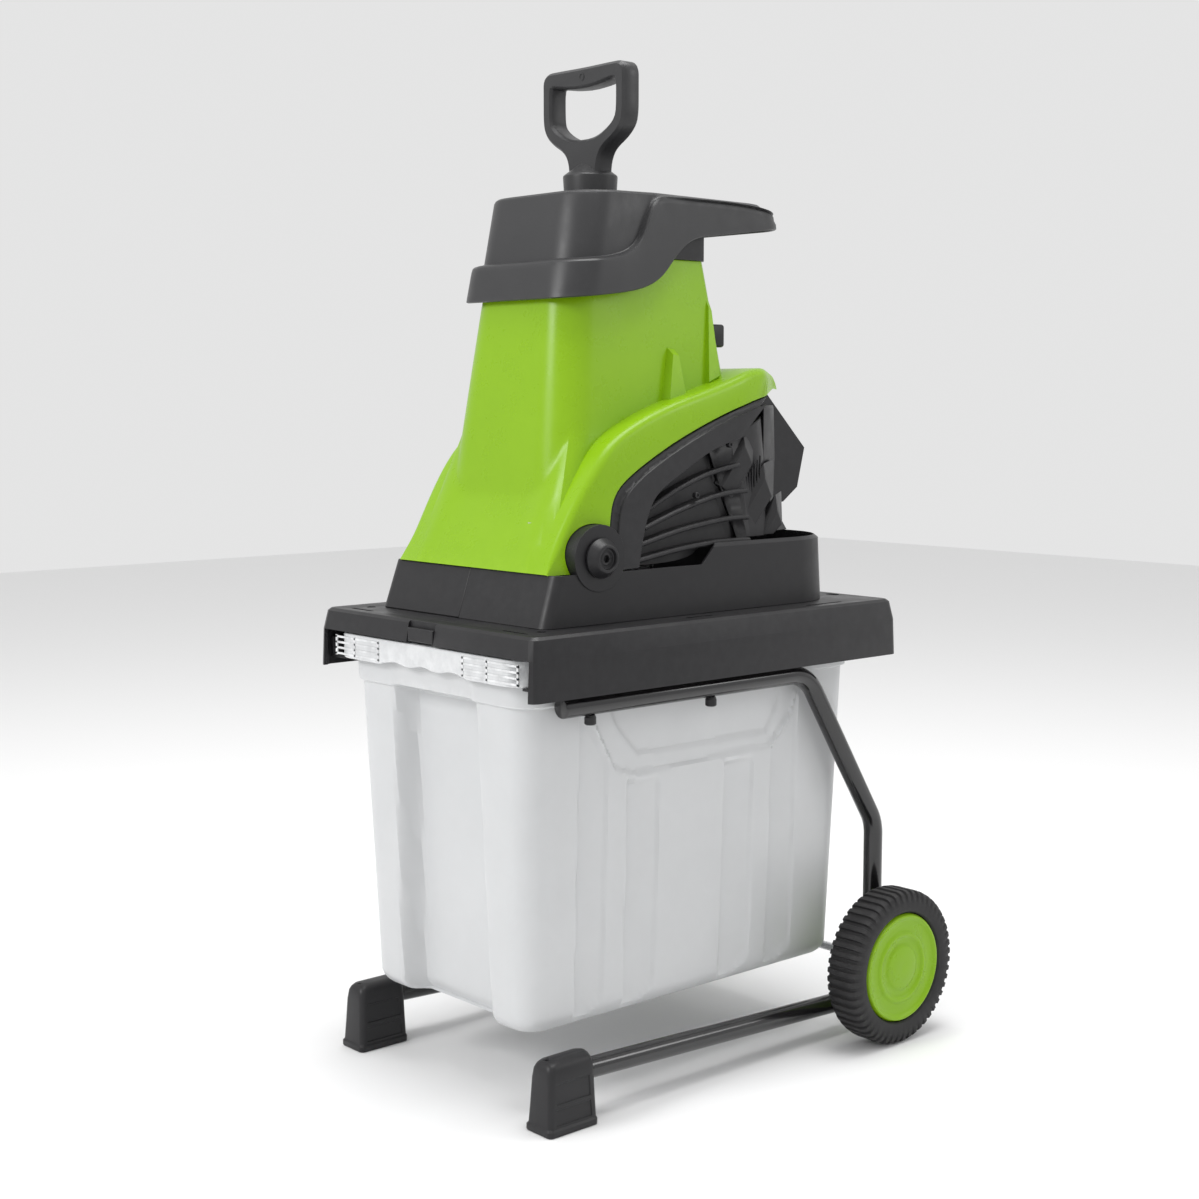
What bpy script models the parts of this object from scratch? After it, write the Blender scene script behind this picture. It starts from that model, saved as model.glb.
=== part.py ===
"""Quiet garden shredder on a wheeled tube frame with a pull-out collecting bin.

Metres, +Z up, the front (where the bin comes out) at -Y, the adjusting knob at +X.
The origin is on the floor, under the middle of the overall box.
"""

from math import acos, atan2, cos, hypot, pi, radians, sin, tan

import bmesh
import bpy
from mathutils import Matrix, Vector

# --- fits and walls -------------------------------------------------------
GAP = 0.0003  # between pieces that touch
RUN_GAP = 0.0005  # between a turning or sliding piece and its seat
WALL = 0.0035  # moulded plastic walls
SHEET = 0.004  # steel plate

# --- wheels and frame -----------------------------------------------------
WHEEL_RADIUS = 0.090
TYRE_WIDTH = 0.0445
HUB_RADIUS = 0.0635
AXLE_RADIUS = 0.005
WHEEL_Y = 0.210
WHEEL_TO_TUBE = 0.0213  # from the tube's side to the tyre
TUBE_RADIUS = 0.0112
TUBE_TOP_Z = 0.4360  # centre line of the upper run
TUBE_FRONT_Y = -0.247
TUBE_TURN_Y = 0.118  # where the upper run turns down
TUBE_KNEE_Z = 0.245  # where the slanted run meets the rear leg
BEND_RADIUS = 0.050
TUBE_REAR_Y = 0.2415
LOWER_REAR_Z = 0.035
LOWER_FRONT_Z = 0.0545
FOOT_HEIGHT = 0.0755
FOOT_HALF_WIDTH = 0.0208
FOOT_FRONT_Y = -0.2795
FOOT_LENGTH = 0.0667
FOOT_SOCKET_DEPTH = 0.030
SCREW_CAP_RADIUS = 0.0062
SCREW_CAP_HEIGHT = 0.0100
SCREW_CAP_YS = {"front": -0.207, "rear": -0.033}

# --- base plate -----------------------------------------------------------
PLATE_HALF_WIDTH = 0.1882
PLATE_FRONT_Y = -0.300
PLATE_BACK_Y = 0.2545
PLATE_HEIGHT = 0.0650
PLATE_FACET = 0.0415  # height of the crease in its sides
PLATE_FACET_INSET = 0.0012  # how far the sides lean in up to the crease
PLATE_INSET = 0.0078  # how far they lean in up to the top
PLATE_CORNER = 0.008
TUBE_INSIDE_PLATE = 0.0095  # from the plate's side to the tube's side
OUTLET_X = (-0.082, 0.062)
OUTLET_Y = (-0.212, -0.092)
RECESS_HALF_WIDTH = 0.0235
RECESS_DEPTH = 0.0060
SLIDER_TRAVEL = 0.006
SLIDER_STEM_HALF = 0.005
SLIDER_STEM_HEIGHT = 0.004

# --- bin ------------------------------------------------------------------
BIN_BOTTOM_Z = 0.087
BIN_WALL = 0.0026
BIN_SIDE_GAP = 0.0152  # from the rim to the doorway's side
BIN_TAPER = 0.0125  # lean of each side over the height
BIN_FRONT_LEAN = 0.0150
BIN_BOTTOM_FRONT_Y = -0.2680
BIN_BOTTOM_BACK_Y = 0.2065
BIN_CORNER = 0.030
BIN_RIM_HEIGHT = 0.0275
BIN_RIM_REACH = 0.0135
BIN_UNDER_PLATE = 0.0020  # gap between the rim and the doorway's top
RAIL_THICKNESS = 0.003
RAIL_HEIGHT = 0.020

# --- body on the plate (heights are above the plate's top) ----------------
HOUSING_FRONT_Y = -0.2470
HOUSING_BACK_Y = 0.2150
HOUSING_SETBACK = 0.0442  # from the plate's side to the housing's
HOUSING_FRONT_TOP = 0.0535
HOUSING_REAR_TOP = 0.0760
HOUSING_LEAN = 0.0220  # how far the front leans back up to the rear rim's height
STEP_Y = (-0.022, 0.002)  # where the housing's rim steps up
TOWER_TOP = 0.3845
COVER_SETBACK = 0.0020  # from the housing's side to the cover's
COVER_LEAN = 0.09  # how much narrower the cover gets per metre of height
COVER_BACK_Y = 0.1120
VENT_SLOTS = 5
MOTOR_COVER_SETBACK = 0.0240  # from the arched cover's side to the rear cover's
MOTOR_COVER_TOP = 0.2250
EAR_RADIUS = 0.035
EAR_PROUD = 0.0030

# --- mill -----------------------------------------------------------------
MILL_Y = -0.1720  # middle of the roller, the pressure plate and the adjuster
ROLLER_RADIUS = 0.0380
ROLLER_LENGTH = 0.0600
ROLLER_SHAFT_RADIUS = 0.0090
BUSH_WALL = 0.0045
ROLLER_X = -0.0300
MILL_H = 0.0690  # height of the roller's axis and of the adjusting screw
CUTTER_TEETH = 8
PLATE_CLEARANCE = 0.0008  # between the roller and the pressure plate when set
PRESSURE_PLATE_THICKNESS = 0.0180
PRESSURE_PLATE_HEIGHT = 0.0700
PLATE_TRAVEL = 0.0060
PLATE_GRIP = 0.0040  # how deep the screw and rods sit in the plate when it is set
GUIDE_SETBACK = 0.0740  # from the housing's side to the guide block
GUIDE_THICKNESS = 0.0120
GUIDE_ROD_RADIUS = 0.0035
GUIDE_ROD_SPREAD = 0.0210
SCREW_RADIUS = 0.0050
KNOB_RADIUS = 0.0210
KNOB_LENGTH = 0.0125

# --- gears: three stages, all axes along Y --------------------------------
PRESSURE_ANGLE = radians(25)
ADDENDUM = 0.80
DEDENDUM = 1.02
BACKLASH = 0.00022
PINION_TEETH = 10
STAGE_TEETH = (38, 38, 40)
STAGE_MODULES = (0.00125, 0.0015, 0.0020)
STAGE_Y = ((-0.0340, -0.0240), (-0.0520, -0.0400), (-0.0760, -0.0580))
FIRST_ANGLE = radians(25)  # slope from the motor's axis down to the first layshaft
CASE_Y = (-0.0850, -0.0180)
CASE_SPACE = 0.0030  # between the gears' tips and the case
MOTOR_X = 0.0000
MOTOR_H = 0.1320

# --- motor ----------------------------------------------------------------
MOTOR_RADIUS = 0.0550
MOTOR_CAN_WALL = 0.0030
MOTOR_Y = (-0.0160, 0.1180)
ROTOR_RADIUS = 0.0300
ROTOR_SHAFT_RADIUS = 0.0050
BEARING_WALL = 0.0060
FAN_RADIUS = 0.0420
FAN_THICKNESS = 0.0120
FAN_BLADES = 9
CAPACITOR_RADIUS = 0.0170

# --- chute, hood and plunger ----------------------------------------------
CHUTE_WALL = 0.0030
NECK_REACH = 0.0210  # from the feed opening's side to the neck's
NECK_Y = (-0.1440, 0.0500)
NECK_HEIGHT = 0.0290
HOOD_TOP = 0.4545
HOOD_FRONT_Y = -0.1755
HOOD_BACK_Y = 0.1700
HOOD_REACH = 0.0360  # from the feed opening's side to the hood's
HOOD_WALL = 0.0030
FEED_HALF = 0.0620
FEED_Y = (-0.1180, 0.0020)
FEED_RIM = 0.0060  # how much wider the chute's top is than the feed opening
HOLDER_HALF_WIDTH = 0.0640
HOLDER_Y = (0.0625, 0.0900)
HOLDER_H = (0.2910, 0.3170)
HOLDER_WALL = 0.0060
PLUNGER_Y = -0.0590
COLLAR_RADIUS = 0.0305
COLLAR_SINK = 0.0040  # how far the collar sits down into the feed opening
HANDLE_HALF_WIDTH = 0.0685
HANDLE_THICKNESS = 0.0250
HANDLE_TOP = 0.5945
PUSHER_HALF = 0.0300
PUSHER_LENGTH = 0.1950
PUSHER_WEB = 0.0060

# --- control box ----------------------------------------------------------
BOX_HALF_WIDTH = 0.0550
BOX_FRONT_Y = 0.1612
BOX_TOP = 0.2430
BOX_SHELF = 0.1100
PANEL_HALF_WIDTH = 0.0450
PANEL_SHARE = 0.86  # of the slope's length
PANEL_THICKNESS = 0.0025
BUTTON_RADIUS = 0.0080
BUTTON_PROUD = 0.0045
BUTTON_LENGTH = 0.0140
SELECTOR_RADIUS = 0.0140
SELECTOR_STEM = 0.0030
RESET_RADIUS = 0.0045
BUTTON_PLACES = {"start_button": (-0.0180, 0.30), "stop_button": (0.0180, 0.30)}
RESET_PLACE = (0.0260, 0.70)
SELECTOR_PLACE = (-0.0060, 0.66)
INLET_HALF = (0.0240, 0.0190)
INLET_DEPTH = 0.0160

# --- places that follow from the sizes above ------------------------------
PLATE_BOTTOM_Z = TUBE_TOP_Z + TUBE_RADIUS + GAP
PLATE_TOP_Z = PLATE_BOTTOM_Z + PLATE_HEIGHT
SEAT_Z = PLATE_TOP_Z + GAP


def up(height):
    """Height above the base plate's top, as Z."""
    return PLATE_TOP_Z + height


FRAME_X = PLATE_HALF_WIDTH - TUBE_RADIUS - TUBE_INSIDE_PLATE
TYRE_INNER_X = FRAME_X + TUBE_RADIUS + WHEEL_TO_TUBE
TYRE_OUTER_X = TYRE_INNER_X + TYRE_WIDTH
FOOT_BACK_Y = FOOT_FRONT_Y + FOOT_LENGTH
SOCKET_END_Y = FOOT_BACK_Y - FOOT_SOCKET_DEPTH

BIN_RIM_TOP_Z = PLATE_BOTTOM_Z + PLATE_FACET - BIN_UNDER_PLATE
BIN_RIM_BOTTOM_Z = BIN_RIM_TOP_Z - BIN_RIM_HEIGHT
RAIL_OUTER_X = PLATE_HALF_WIDTH - PLATE_FACET_INSET - WALL - GAP
BIN_DOOR_HALF = RAIL_OUTER_X - RAIL_THICKNESS
BIN_TOP_HALF = BIN_DOOR_HALF - BIN_SIDE_GAP - BIN_RIM_REACH
BIN_BOTTOM_HALF = BIN_TOP_HALF - BIN_TAPER
BIN_FRONT_Y = BIN_BOTTOM_FRONT_Y - BIN_FRONT_LEAN
BIN_BACK_Y = BIN_BOTTOM_BACK_Y + BIN_TAPER
RECESS_Y = PLATE_FRONT_Y + PLATE_FACET_INSET + RECESS_DEPTH
SLIDER_BOTTOM_Z = BIN_RIM_TOP_Z + 0.0035
SLIDER_STEM_Z = (SLIDER_BOTTOM_Z + 0.0035, SLIDER_BOTTOM_Z + 0.0035 + SLIDER_STEM_HEIGHT)

HOUSING_HALF_WIDTH = PLATE_HALF_WIDTH - HOUSING_SETBACK
COVER_HALF_WIDTH = HOUSING_HALF_WIDTH - COVER_SETBACK
MOTOR_COVER_HALF = COVER_HALF_WIDTH - MOTOR_COVER_SETBACK
EAR_X = HOUSING_HALF_WIDTH - 0.003
RIDGE = (
    (-0.2325, 0.0540),
    (-0.1940, 0.1230),
    (-0.1650, 0.1650),
    (-0.1370, 0.1940),
    (-0.0650, 0.2250),
    (0.0330, 0.2500),
    (0.0880, 0.2700),
    (0.1560, 0.2620),
    (0.1630, 0.2440),
)
ARCH = (
    (0.1410, 0.2440),
    (0.0710, 0.2300),
    (0.0020, 0.2080),
    (-0.0650, 0.1810),
    (-0.1280, 0.1480),
    (-0.1470, 0.1280),
    (-0.1530, 0.1000),
    (-0.1600, 0.0540),
)
NECK_HALF = FEED_HALF + NECK_REACH
HOOD_HALF = FEED_HALF + HOOD_REACH
TOWER_MIDDLE = (FEED_HALF + HOUSING_HALF_WIDTH) / 2
TOWER_LEVELS = (  # height, half width, front, back, corner radius
    (0.0540, HOUSING_HALF_WIDTH - 0.0180, RIDGE[0][0], 0.0000, 0.030),
    (0.1270, HOUSING_HALF_WIDTH - 0.0340, -0.2070, 0.0300, 0.030),
    (0.1950, TOWER_MIDDLE - 0.0050, -0.1835, 0.0550, 0.030),
    (0.2400, TOWER_MIDDLE - 0.0090, -0.1790, 0.0660, 0.028),
    (0.3330, FEED_HALF + 0.0220, -0.1665, 0.0520, 0.026),
    (TOWER_TOP, FEED_HALF + 0.0170, -0.1560, 0.0435, 0.024),
)
TOWER_FRONT = tuple((height, front) for height, _, front, _, _ in TOWER_LEVELS)
MOTOR_COVER_FRONT_Y = COVER_BACK_Y + 0.0015
MOTOR_COVER_FOOT = HOUSING_REAR_TOP + 0.0030
MOTOR_COVER_BACK = (
    (0.1820, MOTOR_COVER_FOOT),
    (0.1720, 0.0920),
    (0.1580, 0.1170),
    (0.1600, 0.1680),
    (0.1570, MOTOR_COVER_TOP),
)

MILL_Z = up(MILL_H)
ROLLER_Y = (MILL_Y - ROLLER_LENGTH / 2, MILL_Y + ROLLER_LENGTH / 2)
BEARING_PLATE_Y = ROLLER_Y[0] - 0.0035
BUSH_RADIUS = ROLLER_SHAFT_RADIUS + BUSH_WALL
PRESSURE_X = ROLLER_X + ROLLER_RADIUS + PLATE_CLEARANCE
PRESSURE_BACK_X = PRESSURE_X + PRESSURE_PLATE_THICKNESS
GUIDE_X = max(HOUSING_HALF_WIDTH - GUIDE_SETBACK, PRESSURE_BACK_X + PLATE_TRAVEL + 0.004)
MOTOR_AXIS = (MOTOR_X, up(MOTOR_H))
ROLLER_AXIS = (ROLLER_X, MILL_Z)

SLOPE_TOP = Vector((0.0, 0.1650, up(BOX_TOP)))
SLOPE_FOOT = Vector((0.0, 0.2365, up(0.1740)))
BOX_CHIN = Vector((0.0, 0.2245, up(0.1270)))
DOWN_SLOPE = (SLOPE_FOOT - SLOPE_TOP).normalized()
SLOPE_OUT = Vector((0.0, -DOWN_SLOPE.z, DOWN_SLOPE.y))
SLOPE_LENGTH = (SLOPE_FOOT - SLOPE_TOP).length
CHIN_DOWN = (BOX_CHIN - SLOPE_FOOT).normalized()
CHIN_OUT = Vector((0.0, -CHIN_DOWN.z, CHIN_DOWN.y))

CHUTE_FOOT = MILL_H + ROLLER_RADIUS + 0.0110
LIP = (
    (HOOD_FRONT_Y, 0.3370),
    (-0.1000, 0.3470),
    (-0.0400, 0.3690),
    (-0.0200, 0.3800),
    (0.0080, 0.4080),
    (0.0500, 0.4130),
    (0.1500, 0.4260),
)
RIDGE_LINE = (
    (HOOD_FRONT_Y, 0.3770),
    (-0.1000, 0.3865),
    (-0.0760, 0.3930),
    (-0.0660, 0.4120),
    (-0.0560, 0.4340),
    (-0.0440, HOOD_TOP - 0.0045),
    (0.1000, HOOD_TOP - 0.0045),
    (HOOD_BACK_Y, HOOD_TOP - 0.0145),
)
HOOD_TOP_LINE = (
    (-0.1400, HOOD_TOP - 0.0020),
    (-0.0400, HOOD_TOP),
    (0.1200, HOOD_TOP - 0.0015),
    (HOOD_BACK_Y, HOOD_TOP - 0.0100),
)
HOOD_FLARE = ((-0.1000, 1.04), (0.0200, 0.94))


# --- materials ------------------------------------------------------------
def make_material(name, colour, roughness, metallic=0.0):
    material = bpy.data.materials.new(name)
    material.use_nodes = True
    shader = material.node_tree.nodes["Principled BSDF"]
    shader.inputs["Base Color"].default_value = (*colour, 1.0)
    shader.inputs["Roughness"].default_value = roughness
    shader.inputs["Metallic"].default_value = metallic
    return material


for scene_object in list(bpy.data.objects):
    bpy.data.objects.remove(scene_object)

GREEN = make_material("green_plastic", (0.26, 0.49, 0.01), 0.42)
BLACK = make_material("black_plastic", (0.035, 0.034, 0.037), 0.48)
HOOD_GREY = make_material("dark_grey_plastic", (0.055, 0.055, 0.058), 0.50)
WHITE = make_material("white_translucent_plastic", (0.74, 0.75, 0.77), 0.45)
TUBE_BLACK = make_material("black_enamel", (0.012, 0.011, 0.013), 0.25, 0.3)
RUBBER = make_material("tyre_rubber", (0.022, 0.021, 0.024), 0.75)
STEEL = make_material("machined_steel", (0.56, 0.57, 0.58), 0.30, 1.0)
CAST = make_material("cast_aluminium", (0.60, 0.60, 0.61), 0.45, 1.0)
COPPER = make_material("laminated_copper", (0.46, 0.25, 0.12), 0.40, 0.8)
RED = make_material("red_plastic", (0.55, 0.02, 0.02), 0.40)


# --- shape helpers --------------------------------------------------------
def interpolate(table, value):
    """Straight-line reading of a short table of (place, size) pairs."""
    if value <= table[0][0]:
        return table[0][1]
    for (a, first), (b, second) in zip(table, table[1:]):
        if value <= b:
            return first + (second - first) * (value - a) / (b - a)
    return table[-1][1]


def rounded_ring(half_x, y_front, y_back, r_front, r_back, height, arc=4, sides=1):
    """Rounded rectangle seen from above, anticlockwise; height is a number or f(x, y)."""
    corners = (
        (half_x - r_back, y_back - r_back, r_back, 0),
        (-half_x + r_back, y_back - r_back, r_back, 1),
        (-half_x + r_front, y_front + r_front, r_front, 2),
        (half_x - r_front, y_front + r_front, r_front, 3),
    )
    flat = []
    for x, y, radius, quarter in corners:
        for step in range(arc + 1):
            angle = (quarter + step / arc) * pi / 2
            flat.append((x + radius * cos(angle), y + radius * sin(angle)))
        if quarter in (1, 3):
            start = flat[-1]
            end_y = y_front + r_front if quarter == 1 else y_back - r_back
            for step in range(1, sides):
                y_side = start[1] + (end_y - start[1]) * step / sides
                flat.append((start[0], y_side))
    if callable(height):
        return [(x, y, height(x, y)) for x, y in flat]
    return [(x, y, height) for x, y in flat]


def circle(centre, radius, axis, along, count):
    """Circle of points round an axis named "X", "Y" or "Z", at a place along it."""
    points = []
    for step in range(count):
        angle = 2 * pi * step / count
        a = radius * cos(angle)
        b = radius * sin(angle)
        offset = {"X": (along, a, b), "Y": (b, along, a), "Z": (a, b, along)}[axis]
        points.append(Vector(centre) + Vector(offset))
    return points


def loft(bm, rings, closed=False):
    """Skin over rings of equally many points; open ends are capped."""
    loops = [[bm.verts.new(point) for point in ring] for ring in rings]
    pairs = list(zip(loops, loops[1:]))
    if closed:
        pairs.append((loops[-1], loops[0]))
    for lower, upper in pairs:
        for here in range(len(lower)):
            after = (here + 1) % len(lower)
            bm.faces.new((lower[here], lower[after], upper[after], upper[here]))
    if not closed:
        bm.faces.new(tuple(reversed(loops[0])))
        bm.faces.new(loops[-1])


def make_object(name, bm, material, place=(0, 0, 0), smooth=False):
    """Object from a bmesh given in world coordinates, with its origin at place."""
    bmesh.ops.translate(bm, verts=bm.verts, vec=-Vector(place))
    bmesh.ops.recalc_face_normals(bm, faces=bm.faces)
    mesh = bpy.data.meshes.new(name)
    bm.to_mesh(mesh)
    bm.free()
    if smooth:
        mesh.shade_smooth()
        mesh.set_sharp_from_angle(angle=radians(35))
    mesh.materials.append(material)
    made = bpy.data.objects.new(name, mesh)
    made.location = place
    bpy.context.scene.collection.objects.link(made)
    return made


def lofted(name, rings, material, closed=False, place=(0, 0, 0), smooth=False):
    bm = bmesh.new()
    loft(bm, rings, closed)
    return make_object(name, bm, material, place, smooth)


def turned(name, profile, material, centre, axis="Y", count=24, closed=False, place=None):
    """Turned piece: profile holds (along, radius) pairs, measured from the centre."""
    rings = [circle(centre, radius, axis, along, count) for along, radius in profile]
    return lofted(name, rings, material, closed, place or centre, smooth=True)


def tube_profile(start, end, inner, outer):
    """Profile of a plain ring or sleeve, for turned with closed set."""
    return [(start, inner), (start, outer), (end, outer), (end, inner)]


def block(name, low, high, material, place=(0, 0, 0)):
    low = Vector(low)
    high = Vector(high)
    bm = bmesh.new()
    bmesh.ops.create_cube(bm, size=1.0)
    bmesh.ops.scale(bm, verts=bm.verts, vec=high - low)
    bmesh.ops.translate(bm, verts=bm.verts, vec=(low + high) / 2)
    return make_object(name, bm, material, place)


def prism_x(name, outline, x_low, x_high, material, place=(0, 0, 0)):
    """Extrusion along X of a (y, z) outline; each end is a number or f(z)."""
    def at(end, z):
        return end(z) if callable(end) else end

    rings = [[(at(end, z), y, z) for y, z in outline] for end in (x_low, x_high)]
    return lofted(name, rings, material, place=place)


def prism_y(name, outline, y_low, y_high, material, place=(0, 0, 0)):
    """Extrusion along Y of an (x, z) outline."""
    rings = [[(x, y, z) for x, z in outline] for y in (y_low, y_high)]
    return lofted(name, rings, material, place=place)


def combine(target, tool, operation):
    """Cut or join a helper solid, which is then kept out of the render."""
    modifier = target.modifiers.new(f"{operation.lower()}_{tool.name}", "BOOLEAN")
    modifier.operation = operation
    modifier.object = tool
    tool.hide_render = True
    tool.display_type = "WIRE"
    return target


def cut(target, *tools):
    for tool in tools:
        combine(target, tool, "DIFFERENCE")
    return target


def join(target, *tools):
    for tool in tools:
        combine(target, tool, "UNION")
    return target


def bevel(target, width, segments=2, angle=40):
    modifier = target.modifiers.new("bevel", "BEVEL")
    modifier.width = width
    modifier.segments = segments
    modifier.limit_method = "ANGLE"
    modifier.angle_limit = radians(angle)
    return target


def rod_x(name, centre, radius, x_low, x_high, material, count=16):
    profile = [(x_low - centre[0], radius), (x_high - centre[0], radius)]
    return turned(name, profile, material, centre, "X", count)


def rod_y(name, centre, radius, y_low, y_high, material, count=20):
    profile = [(y_low - centre[1], radius), (y_high - centre[1], radius)]
    return turned(name, profile, material, centre, "Y", count)


def mirrored(point_x, side):
    return point_x * (1 if side == "right" else -1)


SIDES = ("left", "right")


# --- frame ----------------------------------------------------------------
def filleted(points, radius, steps=5):
    """Polyline in (y, z) with each inner corner replaced by an arc."""
    path = [Vector(points[0])]
    for before, corner, after in zip(points, points[1:], points[2:]):
        corner = Vector(corner)
        to_before = (Vector(before) - corner).normalized()
        to_after = (Vector(after) - corner).normalized()
        half = to_before.angle(to_after) / 2
        reach = radius / tan(half)
        centre = corner + (to_before + to_after).normalized() * radius / sin(half)
        start = corner + to_before * reach - centre
        end = corner + to_after * reach - centre
        for step in range(steps + 1):
            spoke = start.lerp(end, step / steps).normalized() * radius
            path.append(centre + spoke)
    path.append(Vector(points[-1]))
    return path


TUBE_ROUTE = filleted(
    [
        (TUBE_FRONT_Y, TUBE_TOP_Z),
        (TUBE_TURN_Y, TUBE_TOP_Z),
        (TUBE_REAR_Y, TUBE_KNEE_Z),
        (TUBE_REAR_Y, LOWER_REAR_Z),
        (SOCKET_END_Y + GAP, LOWER_FRONT_Z),
    ],
    BEND_RADIUS,
)


def make_frame_tube(side):
    """One bent side tube: upper run, slanted run, rear leg and lower run."""
    x = mirrored(FRAME_X, side)
    curve = bpy.data.curves.new(f"frame_tube_{side}", "CURVE")
    curve.dimensions = "3D"
    curve.bevel_depth = TUBE_RADIUS
    curve.bevel_resolution = 3
    curve.use_fill_caps = True
    spline = curve.splines.new("POLY")
    spline.points.add(len(TUBE_ROUTE) - 1)
    for point, (y, z) in zip(spline.points, TUBE_ROUTE):
        point.co = (x, y, z, 1.0)
    curve.materials.append(TUBE_BLACK)
    made = bpy.data.objects.new(f"frame_tube_{side}", curve)
    bpy.context.scene.collection.objects.link(made)


def make_foot(side):
    """Moulded foot with a flared sole and a socket for the lower tube."""
    x = mirrored(FRAME_X, side)
    levels = (
        (0.000, 0.0000, 0.004),
        (0.007, 0.0014, 0.005),
        (FOOT_HEIGHT - 0.020, 0.0040, 0.006),
        (FOOT_HEIGHT - 0.007, 0.0060, 0.006),
        (FOOT_HEIGHT, 0.0120, 0.005),
    )
    rings = []
    for height, inset, radius in levels:
        half = FOOT_HALF_WIDTH - inset
        front = FOOT_FRONT_Y + inset
        back = FOOT_BACK_Y - inset * 0.3
        ring = rounded_ring(half, front, back, radius, radius, height, arc=3)
        rings.append([(x + px, py, pz) for px, py, pz in ring])
    foot = lofted(f"foot_{side}", rings, BLACK)
    direction = Vector(TUBE_ROUTE[-1]) - Vector(TUBE_ROUTE[-2])
    direction.normalize()
    inner = Vector(TUBE_ROUTE[-1]) + direction * RUN_GAP
    outer = inner - direction * (FOOT_SOCKET_DEPTH + 0.020)
    rings = []
    for end in (inner, outer):
        ring = circle((x, 0, 0), TUBE_RADIUS + RUN_GAP, "Y", 0, 16)
        rings.append([(p[0], p[1] + end[0], p[2] + end[1]) for p in ring])
    return cut(foot, lofted(f"foot_socket_{side}", rings, BLACK))


def make_axle():
    reach = TYRE_OUTER_X - 0.012
    rod_x("axle", (0, WHEEL_Y, WHEEL_RADIUS), AXLE_RADIUS, -reach, reach, STEEL)


def make_axle_bracket(side):
    """Plate welded to the inner side of the tube, with the axle's hole."""
    sign = 1 if side == "right" else -1
    inner = FRAME_X - TUBE_RADIUS - GAP - SHEET
    outline = (
        (WHEEL_Y - 0.012, WHEEL_RADIUS - 0.014),
        (TUBE_REAR_Y + 0.006, WHEEL_RADIUS - 0.020),
        (TUBE_REAR_Y + 0.008, WHEEL_RADIUS + 0.034),
        (TUBE_REAR_Y - 0.006, WHEEL_RADIUS + 0.034),
        (WHEEL_Y - 0.012, WHEEL_RADIUS + 0.012),
    )
    plate = prism_x(f"axle_bracket_{side}", outline, sign * inner, sign * (inner + SHEET), TUBE_BLACK)
    middle = (sign * (inner + SHEET / 2), WHEEL_Y, WHEEL_RADIUS)
    hole = rod_x(
        f"axle_hole_{side}", middle, AXLE_RADIUS + GAP, middle[0] - SHEET, middle[0] + SHEET, STEEL
    )
    return cut(plate, hole)


def make_frame_screw(side, end):
    """Round screw cap under the upper run of the tube."""
    centre = (mirrored(FRAME_X, side), SCREW_CAP_YS[end], TUBE_TOP_Z - TUBE_RADIUS - GAP)
    profile = [
        (-SCREW_CAP_HEIGHT, SCREW_CAP_RADIUS * 0.80),
        (-SCREW_CAP_HEIGHT * 0.85, SCREW_CAP_RADIUS),
        (-0.0022, SCREW_CAP_RADIUS),
        (-0.0015, SCREW_CAP_RADIUS * 0.85),
        (0.0, SCREW_CAP_RADIUS * 0.85),
    ]
    turned(f"frame_screw_{end}_{side}", profile, BLACK, centre, "Z", 16)


# --- wheels ---------------------------------------------------------------
def make_wheel(side):
    """Rubber tyre on a green hub whose blind bore covers the end of the axle."""
    sign = 1 if side == "right" else -1
    middle = TYRE_INNER_X + TYRE_WIDTH / 2
    centre = (sign * middle, WHEEL_Y, WHEEL_RADIUS)
    half = TYRE_WIDTH / 2
    seat = HUB_RADIUS + RUN_GAP
    tyre = [
        (-half + 0.004, seat),
        (-half, seat + 0.006),
        (-half + 0.002, WHEEL_RADIUS - 0.005),
        (-half + 0.007, WHEEL_RADIUS),
        (half - 0.007, WHEEL_RADIUS),
        (half - 0.002, WHEEL_RADIUS - 0.005),
        (half, seat + 0.006),
        (half - 0.004, seat),
    ]
    turned(f"wheel_tyre_{side}", tyre, RUBBER, centre, "X", 36, closed=True)
    bore = AXLE_RADIUS + RUN_GAP
    hub = [
        (half - 0.0100, bore),
        (-half + 0.001, bore),
        (-half + 0.001, bore + 0.010),
        (-half + 0.012, bore + 0.011),
        (-half + 0.012, HUB_RADIUS - 0.006),
        (-half + 0.005, HUB_RADIUS - 0.004),
        (-half + 0.005, HUB_RADIUS),
        (half - 0.004, HUB_RADIUS),
        (half - 0.0015, HUB_RADIUS - 0.003),
        (half - 0.0015, HUB_RADIUS * 0.66),
        (half - 0.0045, HUB_RADIUS * 0.60),
        (half - 0.0045, HUB_RADIUS * 0.40),
        (half - 0.0025, HUB_RADIUS * 0.36),
    ]
    profile = [(sign * along, radius) for along, radius in hub]
    turned(f"wheel_hub_{side}", profile, GREEN, centre, "X", 24)


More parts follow.
